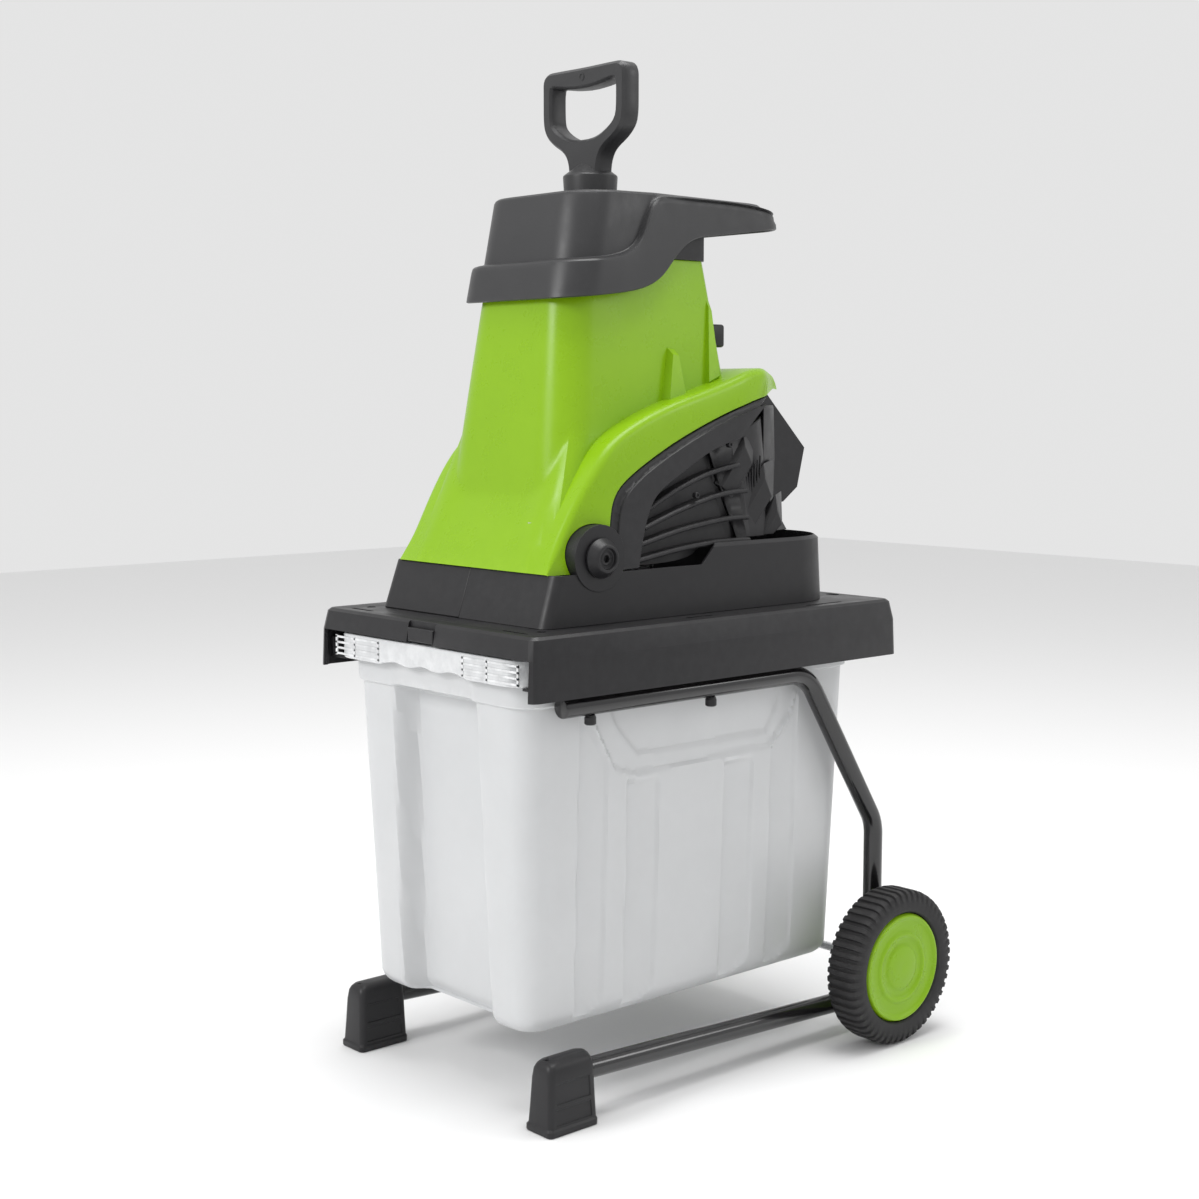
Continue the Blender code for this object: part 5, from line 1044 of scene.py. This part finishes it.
# --- Side covers ----------------------------------------------------------------------
# A black cover fills the arch on each side: a raised band along the arch, then an opening
# crossed by four curved slats that guard the gears and the motor. Moulded, with four
# screws.
OPENING = (
    (-0.1150, 0.0560), (-0.1080, 0.0840), (-0.0960, 0.1150), (-0.0810, 0.1340), (-0.0400, 0.1550),
    (0.0020, 0.1770), (0.0480, 0.1890),
)
COVER_ARCH = (
    (-0.1575, 0.0545), (-0.1520, 0.1000), (-0.1458, 0.1275), (-0.1270, 0.1470), (-0.0642, 0.1798),
    (0.0020, 0.2066), (0.0710, 0.2286), (0.1120, 0.2370),
)
SLATS = (
    ((-0.0940, 0.1175), (-0.0590, 0.1335), (-0.0230, 0.1465), (0.0100, 0.1560), (0.0500, 0.1620)),
    ((-0.0990, 0.0985), (-0.0540, 0.1135), (-0.0020, 0.1265), (0.0300, 0.1320), (0.0600, 0.1330)),
    ((-0.1060, 0.0815), (-0.0470, 0.0945), (0.0160, 0.1025), (0.0400, 0.1040), (0.0600, 0.1035)),
    ((-0.1130, 0.0645), (-0.0540, 0.0735), (0.0020, 0.0785), (0.0300, 0.0790), (0.0600, 0.0785)),
)
WALL_FOOT = ((-0.1560, 0.0556), (-0.0250, 0.0556), (0.0000, 0.0780), (0.1120, 0.0780))
POST_UPPER = ((0.0100, 0.1790), (0.0300, 0.1850), (0.1120, 0.2130))
POST_LOWER = ((0.0480, 0.0775), (0.0600, 0.0775), (0.1120, 0.0775))
COVER_SCREWS = ((-0.1000, 0.1155), (-0.0060, 0.1845), (0.0330, 0.1825), (-0.0230, 0.1285))
SCREW_HEAD = (
    (-0.004, 0.0034), (0.0006, 0.0034), (0.0012, 0.0030), (0.0012, 0.0016), (0.0002, 0.0014)
)


def band_between(sign, outer_line, inner_line, out_x, in_x, edge):
    """A curved band between two lines, with softened edges, between two depths."""
    rings = []
    for a, b in zip(outer_line, inner_line):
        middle = (a + b) / 2
        soften = max(0.0, 1 - 2 * edge / max((a - b).length, 0.001))
        ring = []
        for point, share, x in (
            (a, 1.0, in_x), (a, 1.0, out_x - edge), (a, soften, out_x),
            (b, soften, out_x), (b, 1.0, out_x - edge), (b, 1.0, in_x),
        ):
            place = middle + (point - middle) * share
            ring.append((sign * (cover_half(place.x, place.y) + x), place.x, PLATE_TOP + place.y))
        rings.append(ring)
    return skinned(rings)


def moved(shape, scale, place):
    """A shape scaled, then moved from the origin to its place."""
    bmesh.ops.scale(shape, verts=shape.verts, vec=scale)
    bmesh.ops.translate(shape, verts=shape.verts, vec=place)
    bmesh.ops.recalc_face_normals(shape, faces=shape.faces)
    return shape


cover_line = smooth_line(COVER_ARCH, 40)
opening_line = smooth_line(OPENING, 40)
step_line = [a.lerp(b, 0.22) for a, b in zip(cover_line, opening_line)]
wall_line = smooth_line(WALL_FOOT, 40)
SLAT_WIDTH = Vector((0.0, 0.0052))
slats = []
for slat in SLATS:
    upper = smooth_line(slat, 24)
    slats.append((upper, [point - SLAT_WIDTH for point in upper], -0.0040, -0.0160, 0.0016))
BANDS = (  # upper line, lower line, outer and inner depth, rounding
    (cover_line, opening_line, -0.0015, -0.0080, 0.0012),
    (step_line, opening_line, 0.0008, -0.0040, 0.0010),
    *slats,
    (step_line, wall_line, -0.0190, -0.0215, 0.0004),
    (smooth_line(POST_UPPER, 12), smooth_line(POST_LOWER, 12), -0.0135, -0.0200, 0.0012),
)
for side, sign in (("left", -1), ("right", 1)):
    parts = [band_between(sign, *band) for band in BANDS]
    for y, height in COVER_SCREWS:
        place = (sign * (cover_half(y, height) - 0.0010), y, PLATE_TOP + height)
        parts.append(moved(turned(SCREW_HEAD, "X", (0.0, 0.0, 0.0), 20), (sign, 1, 1), place))
    piece = show(
        joined(*parts), f"arch_cover_{side}", black_plastic, f"side_cover_{side}", angle=30
    )
    if side == "right":
        cut_out(piece, ear_disc(-0.028, 0.016, EAR_RADIUS + 0.0012))

# --- Motor cover ----------------------------------------------------------------------
# The rear cover breathes through folded louvres: each bar rises along the side and folds
# over the cover's chamfered rear corner. Black moulding, clipped to the shell's arch.
MOTOR_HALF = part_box("motor_cover")[1].x
CORNER_CUT = 0.0400


def hull(points):
    """The solid that wraps round a few points."""
    bm = bmesh.new()
    for point in points:
        bm.verts.new(point)
    bmesh.ops.convex_hull(bm, input=bm.verts)
    bmesh.ops.recalc_face_normals(bm, faces=bm.faces)
    return bm


WALL_FRONT = 0.1130
WALL_THICK = 0.0030


def cover_wall(height, back):
    """Level of the motor cover's wall: open in front, its rear corners cut off."""
    outside = [
        (MOTOR_HALF - 0.0140, WALL_FRONT), (MOTOR_HALF - 0.0200, WALL_FRONT + 0.0150),
        (MOTOR_HALF - CORNER_CUT, back),
    ]
    inside = [
        (MOTOR_HALF - 0.0140 - WALL_THICK, WALL_FRONT),
        (MOTOR_HALF - 0.0208 - WALL_THICK, WALL_FRONT + 0.0150),
        (MOTOR_HALF - CORNER_CUT - WALL_THICK, back - WALL_THICK),
    ]
    outline = outside + [(-x, y) for x, y in outside[::-1]]
    outline += [(-x, y) for x, y in inside] + inside[::-1]
    return [(x, y, PLATE_TOP + height) for x, y in outline]


BACK_LINE = (  # height, place of the back
    (0.0790, 0.1820), (0.0920, 0.1720), (0.1170, 0.1580), (0.1680, 0.1600), (0.2230, 0.1572)
)
roof = cover_wall(0.2200, BACK_LINE[-1][1])[:6]
bars = [
    skinned([cover_wall(height, back) for height, back in BACK_LINE]),
    skinned([roof, [(x * 0.99, y, z + 0.0048) for x, y, z in roof]]),
]
LOUVRES = (  # each bar's face, top edge and fold, as (y, height), and how deep it folds
    (
        ((0.0280, 0.1360), (0.0640, 0.1790), (0.0760, 0.1600), (0.0420, 0.1220)),
        ((0.0210, 0.1400), (0.0670, 0.1900)), ((0.0980, 0.1950), (0.0900, 0.1620)), 0.0150,
    ),
    (
        ((0.0580, 0.0960), (0.0970, 0.1420), (0.1080, 0.1220), (0.0740, 0.0820)),
        ((0.0520, 0.1000), (0.1000, 0.1600)), ((0.1400, 0.1640), (0.1310, 0.1260)), 0.0230,
    ),
    (
        ((0.0960, 0.0790), (0.1180, 0.1040), (0.1260, 0.0900), (0.1110, 0.0790)),
        ((0.0920, 0.0800), (0.1200, 0.1240)), ((0.1610, 0.1260), (0.1540, 0.0900)), 0.0300,
    ),
)
FINE_BARS = 11
for sign in (-1, 1):
    for face, top_edge, fold, depth in LOUVRES:
        block = [(MOTOR_HALF + 0.0045, point) for point in face]
        block += [(MOTOR_HALF - 0.0010, point) for point in top_edge]
        block += [(MOTOR_HALF - depth, point) for point in fold]
        block += [(MOTOR_HALF - 0.0170, point) for point in face + top_edge[:1]]
        bars.append(hull([(sign * x, y, PLATE_TOP + height) for x, (y, height) in block]))
    for step in range(FINE_BARS):
        x = sign * (MOTOR_HALF + 0.0010)
        y = 0.0480 + 0.0043 * step
        z = PLATE_TOP + 0.1080 + 0.0046 * step
        bars.append(box_between((x - 0.0010, y, z - 0.0150), (x + 0.0010, y + 0.0018, z + 0.0150)))
motor_piece = show(joined(*bars), "louvred_cover", black_plastic, "motor_cover", angle=20)
rounded(motor_piece, 0.0007, 2, 25)

# --- Control box ----------------------------------------------------------------------
# The switch box on the back: a moulded case, a panel with start, stop, reset and a
# direction selector, and the recessed mains inlet below.
machined("switch_case", "control_box", 0.0022, flat=2.0, segments=3)
panel_plastic = make_finish(
    "panel_plastic", (0.085, 0.085, 0.088), (0.070, 0.070, 0.073), 0.55, grain=2600.0,
    depth=0.00005, dust=0.05,
)
red_plastic = make_finish(
    "red_plastic", (0.50, 0.016, 0.014), (0.42, 0.012, 0.010), 0.32, dust=0.03, depth=0.00003
)
for name, node, finish, body, slot in (
    ("switch_panel", "control_panel", panel_plastic, "frame", "black_plastic"),
    ("start_key", "start_button", green_plastic, "start", "green_plastic"),
    ("stop_key", "stop_button", red_plastic, "stop", "red_plastic"),
    ("reset_key", "overload_reset_button", black_plastic, "reset", "black_plastic"),
    ("selector_knob", "direction_selector", black_plastic, "selector", "black_plastic"),
    ("plug_inlet", "mains_inlet", black_plastic, "frame", "black_plastic"),
):
    machined(name, node, 0.0006, finish, 2.0, 3, body, slot)

# --- Mill, gears and motor ------------------------------------------------------------
# The working parts inside the shell: a toothed steel roller in bronze bushes, a cast
# counter plate, three pairs of spur gears in a cast case, and an induction motor. They
# keep their modelled shapes and take machined, cast and wound finishes.
cast_aluminium = make_finish(
    "cast_aluminium", (0.58, 0.58, 0.585), (0.48, 0.48, 0.49), 0.46, metallic=1.0,
    grain=700.0, depth=0.00012, dust=0.10,
)
bush_bronze = make_finish(
    "bush_bronze", (0.50, 0.30, 0.12), (0.40, 0.23, 0.09), 0.34, metallic=1.0, grain=900.0,
    depth=0.00003,
)
laminated_copper = make_finish(
    "laminated_copper", (0.52, 0.24, 0.11), (0.30, 0.15, 0.08), 0.42, metallic=0.9,
    grain=1800.0, depth=0.00015,
)
INSIDE_FINISHES = {
    machined_steel: (
        "cutting_roller", "layshaft_1", "layshaft_2", "roller_gear", "motor_rotor",
        "motor_bearing_front", "motor_bearing_rear",
    ),
    cast_aluminium: (
        "front_bearing_plate", "gearbox_case", "gearbox_lid", "motor_can", "motor_end_shield",
        "pressure_plate", "pressure_plate_guide",
    ),
    bush_bronze: ("roller_bush_front", "roller_bush_rear"),
    laminated_copper: ("motor_stator",),
    black_plastic: ("cooling_fan", "run_capacitor"),
}
for finish, nodes in INSIDE_FINISHES.items():
    for node in nodes:
        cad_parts[node].material_slots[0].material = finish

# --- Feed chute -----------------------------------------------------------------------
# The inner chute leads branches from the hood down to the roller, and its collar closes
# the gap between shell and hood. Black moulding, dropped in from above.
FRONT_LINE = ((TOWER_FOOT, TOWER_FRONT), (KINK_LOW, -0.1938), (0.1950, -0.1850), (0.3330, -0.1665))
CHUTE_GAP = 0.0025
chute_shape = cad_copy("feed_chute", 2.0)
for vert in chute_shape.verts:
    height = vert.co.z - PLATE_TOP
    if height < 0.30:
        vert.co.y = max(vert.co.y, read(FRONT_LINE, height) + SHELL_WALL + CHUTE_GAP)
chute = show(chute_shape, "inner_chute", black_plastic, "feed_chute", angle=25)
rounded(chute, 0.0012, 2)

# --- Feed hood ------------------------------------------------------------------------
# The dark grey hood caps the tower: a lip all round, a leaning body with a double bead
# along its side, the feed opening on top and a visor behind that is the lifting grip.
# One moulding, about 3 mm thick, snapped over the chute's collar.
hood_plastic = make_finish(
    "dark_grey_plastic", (0.0300, 0.0300, 0.0315), (0.0265, 0.0265, 0.0280), 0.40, grain=1300.0,
    depth=0.00006, dust=0.02, specular=0.40,
)
HOOD_TOP = 0.4545
HOOD_FRONT = -0.1755
HOOD_BACK = 0.1700
HOOD_HALF = 0.0980
HOOD_WALL = 0.0030
HOOD_CORNER_FRONT = 0.040
HOOD_CORNER_BACK = 0.045
LIP = smooth_line(
    ((HOOD_FRONT, 0.3370), (-0.1400, 0.3400), (-0.0750, 0.3480), (-0.0400, 0.3620),
     (-0.0150, 0.3900), (0.0100, 0.4080), (0.0500, 0.4130), (0.1500, 0.4260)), 60, 3,
)
RIDGE_LINE = smooth_line(
    ((HOOD_FRONT, 0.3770), (-0.1250, 0.3800), (-0.0900, 0.3870), (-0.0720, 0.4000),
     (-0.0600, 0.4260), (-0.0480, 0.4480), (-0.0200, HOOD_TOP - 0.0045),
     (0.1000, HOOD_TOP - 0.0045), (HOOD_BACK, HOOD_TOP - 0.0145)), 60, 3,
)
TOP_LINE = (
    (-0.1400, HOOD_TOP - 0.0020), (-0.0400, HOOD_TOP), (0.1200, HOOD_TOP - 0.0015),
    (HOOD_BACK, HOOD_TOP - 0.0100),
)
HOOD_FLARE = ((-0.1000, 1.04), (0.0200, 0.94))


def hood_ring(inset, lean, line, lift=0.0, flared=False, least=None):
    """A level of the hood: its height follows a line, and stays above the bead."""
    outline = rounded_outline(
        HOOD_HALF - inset, HOOD_FRONT + inset + lean, HOOD_BACK - inset - lean * 0.25,
        HOOD_CORNER_FRONT, HOOD_CORNER_BACK, arc=12, across=14, along=64,
    )
    ring = []
    for x, y in outline:
        wide = read(HOOD_FLARE, y) if flared else 1.0
        height = read(line, y) + lift
        if least is not None:
            height = max(height, read(RIDGE_LINE, y) + least)
        ring.append((x * wide, y, PLATE_TOP + height))
    return ring


FEED_HALF = 0.0620
FEED_FRONT = -0.1180
FEED_BACK = 0.0020
FEED_CORNER = 0.012


def feed_ring(height, grow=0.0):
    """The feed opening in the hood's top."""
    outline = rounded_outline(
        FEED_HALF + grow, FEED_FRONT - grow, FEED_BACK + grow, FEED_CORNER, FEED_CORNER,
        arc=12, across=14, along=64,
    )
    return [(x, y, PLATE_TOP + height) for x, y in outline]


hood_rings = [
    # The lip, from its lower edge up.
    hood_ring(0.0010, 0.0010, LIP, 0.0000, True),
    hood_ring(0.0000, 0.0000, LIP, 0.0012, True),
    hood_ring(0.0002, 0.0006, LIP, 0.0060, True),
    # The double bead.
    hood_ring(0.0012, 0.0052, RIDGE_LINE, -0.0070, True),
    hood_ring(0.0016, 0.0062, RIDGE_LINE, -0.0026, True),
    hood_ring(0.0026, 0.0068, RIDGE_LINE, -0.0008, True),
    hood_ring(0.0042, 0.0080, RIDGE_LINE, 0.0006),
    hood_ring(0.0064, 0.0092, RIDGE_LINE, 0.0010),
    hood_ring(0.0074, 0.0098, RIDGE_LINE, 0.0018),
    # The leaning wall above it and the top's round edge.
    hood_ring(0.0100, 0.0196, TOP_LINE, -0.0060, least=0.0024),
    hood_ring(0.0108, 0.0202, TOP_LINE, -0.0030, least=0.0028),
    hood_ring(0.0126, 0.0210, TOP_LINE, -0.0010, least=0.0031),
    hood_ring(0.0160, 0.0230, TOP_LINE, 0.0),
    # The feed opening's edge.
    feed_ring(HOOD_TOP, 0.0012),
    feed_ring(HOOD_TOP - 0.0006, 0.0004),
    feed_ring(HOOD_TOP - 0.0016, 0.0),
    feed_ring(HOOD_TOP - HOOD_WALL),
    # Down again inside.
    hood_ring(0.0100 + HOOD_WALL, 0.0200, TOP_LINE, -HOOD_WALL - 0.0010),
    hood_ring(0.0070 + HOOD_WALL, 0.0090, RIDGE_LINE, -HOOD_WALL),
    hood_ring(0.0020 + HOOD_WALL, 0.0070, RIDGE_LINE, -HOOD_WALL * 2, True),
    hood_ring(HOOD_WALL, 0.0010, LIP, 0.0, True),
]
show(skinned(hood_rings, closed=True), "feed_hood", hood_plastic, "hood", angle=24)

# --- Cable holder ---------------------------------------------------------------------
# A hooked shelf on the back of the tower that the cord is wound over. Black moulding,
# screwed on.
machined("cord_shelf", "cable_holder", 0.0010, flat=2.0)

# --- Plunger --------------------------------------------------------------------------
# The plunger pushes material down the chute. Its D-shaped handle has chamfered edges and
# stands on a cone and a collar; a ribbed pusher hangs below. Two mouldings screwed
# together.
PLUNGER_LOW, PLUNGER_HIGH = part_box("plunger_handle")
_, PLUNGER_Y, _ = middle_of("plunger_handle")
GRIP_HALF = PLUNGER_HIGH.x
GRIP_TOP = PLUNGER_HIGH.z
WAIST = PLATE_TOP + HOOD_TOP + 0.0330
GRIP_DEPTH = 0.0250


def both_sides(right_half):
    """A closed outline from its right half, which runs from the bottom to the top."""
    return right_half + [Vector((-x, z)) for x, z in right_half[::-1]]


grip_outer = smooth_line(
    (
        (0.0240, WAIST - 0.0120), (0.0252, WAIST + 0.0040), (0.0330, WAIST + 0.0170),
        (0.0520, WAIST + 0.0270), (0.0645, WAIST + 0.0380), (GRIP_HALF, WAIST + 0.0520),
        (GRIP_HALF, GRIP_TOP - 0.0300), (GRIP_HALF, GRIP_TOP), (0.0400, GRIP_TOP),
        (0.0100, GRIP_TOP - 0.0004),
    ), 44,
)
grip_opening = smooth_line(
    (
        (0.0060, WAIST + 0.0290), (0.0220, WAIST + 0.0305), (0.0400, WAIST + 0.0390),
        (0.0510, WAIST + 0.0480), (0.0530, WAIST + 0.0580), (0.0530, GRIP_TOP - 0.0175),
        (0.0500, GRIP_TOP - 0.0175), (0.0260, GRIP_TOP - 0.0215), (0.0060, GRIP_TOP - 0.0228),
    ), 30,
)


def grip_ring(outline, y, shrink=0.0):
    """An outline at one depth, drawn in by a small amount all round."""
    ring = []
    for before, (x, z), after in zip(outline[-1:] + outline, outline, outline[1:] + outline[:1]):
        along = (after - before).normalized()
        ring.append((x - along.y * shrink, y, z + along.x * shrink))
    return ring


def grip_solid(right_half, chamfer):
    """A solid through the handle's depth: chamfer holds (sunk, drawn in) from face to middle."""
    outline = both_sides(right_half)
    half = GRIP_DEPTH / 2
    levels = [(-1, *step) for step in chamfer] + [(1, *step) for step in chamfer[::-1]]
    return skinned([
        grip_ring(outline, PLUNGER_Y + sign * (half - sunk), drawn) for sign, sunk, drawn in levels
    ])


GRIP_SHARP = 28
handle = show(
    grip_solid(grip_outer, ((0.0, 0.0034), (0.0030, 0.0006), (0.0042, 0.0))), "plunger_grip",
    hood_plastic, "plunger_handle", "plunger", angle=GRIP_SHARP,
)
cut_out(
    handle, grip_solid(grip_opening, ((-0.0020, -0.0050), (0.0028, -0.0004), (0.0040, 0.0)))
)
COLLAR_PROFILE = (
    (0.0, 0.0288), (0.0240, 0.0303), (0.0262, 0.0302), (0.0274, 0.0294), (0.0284, 0.0280),
    (0.0465, 0.0030), (0.0470, 0.0),
)
MARK_PROFILE = (  # a small raised ring on the front of the handle's top bar
    (-0.0006, 0.0040), (0.0010, 0.0040), (0.0010, 0.0030), (0.0004, 0.0028), (0.0004, 0.0004)
)
collar = turned(COLLAR_PROFILE, "Z", (0.0, PLUNGER_Y, PLUNGER_LOW.z), 56)
mark = moved(
    turned(MARK_PROFILE, "Y", (0.0, 0.0, 0.0), 28), (1, -1, 1),
    (0.0, PLUNGER_Y - GRIP_DEPTH / 2 + 0.0004, GRIP_TOP - 0.0110),
)
join_in(handle, collar, mark)
shade(handle.data, GRIP_SHARP)
machined("pusher", "plunger_pusher", 0.0012, flat=2.0, segments=3, body="plunger")

# --- Floor, light and camera ----------------------------------------------------------
# A plain pale floor under even studio light, brighter from the camera's left and above.
floor_mesh = bmesh.new()
bmesh.ops.create_grid(floor_mesh, x_segments=2, y_segments=2, size=6.0)
floor_data = bpy.data.meshes.new("studio_floor")
floor_mesh.to_mesh(floor_data)
floor_mesh.free()
floor_paint = bpy.data.materials.new("studio_floor")
floor_paint.use_nodes = True
floor_shader = floor_paint.node_tree.nodes["Principled BSDF"]
floor_shader.inputs["Base Color"].default_value = (0.84, 0.84, 0.84, 1.0)
floor_shader.inputs["Roughness"].default_value = 0.85
floor_data.materials.append(floor_paint)
floor = placed("studio_floor", floor_data)
floor.location = (0.0, 0.0, -0.0005)

world = bpy.data.worlds.new("studio")
world.use_nodes = True
backdrop = world.node_tree.nodes["Background"]
backdrop.inputs["Color"].default_value = (1.0, 1.0, 1.0, 1.0)
backdrop.inputs["Strength"].default_value = 0.78
bpy.context.scene.world = world
bpy.context.scene.view_settings.view_transform = "Standard"

LIT_PLACE = (0.0, 0.0, 0.5)
CAMERA_PLACE = (1.5744, -1.4456, 0.7484)
CAMERA_TURN = radians(48.352)
CAMERA_DOWN = radians(6.246)
for name, place, size, power in (
    ("key_softbox", (-0.5, -2.6, 2.0), 0.9, 34.0),
    ("side_softbox", (2.2, 2.2, 2.0), 0.8, 10.0),
    ("top_softbox", (0.2, 0.1, 3.0), 1.7, 55.0),
):
    lamp = bpy.data.lights.new(name, "AREA")
    lamp.shape = "SQUARE"
    lamp.size = size
    lamp.energy = power
    light = placed(name, lamp)
    light.location = place
    towards = Vector(LIT_PLACE) - Vector(place)
    light.rotation_euler = towards.to_track_quat("-Z", "Y").to_euler()

camera_data = bpy.data.cameras.new("camera")
camera_data.lens = 55.87
camera_data.sensor_width = 36.0
camera = placed("camera", camera_data)
level = cos(CAMERA_DOWN)
back = Vector((sin(CAMERA_TURN) * level, -cos(CAMERA_TURN) * level, sin(CAMERA_DOWN)))
right = Vector((cos(CAMERA_TURN), sin(CAMERA_TURN), 0.0))
upward = back.cross(right)
turn = Matrix((right, upward, back)).transposed().to_4x4()
camera.matrix_world = Matrix.Translation(CAMERA_PLACE) @ turn
bpy.context.scene.camera = camera
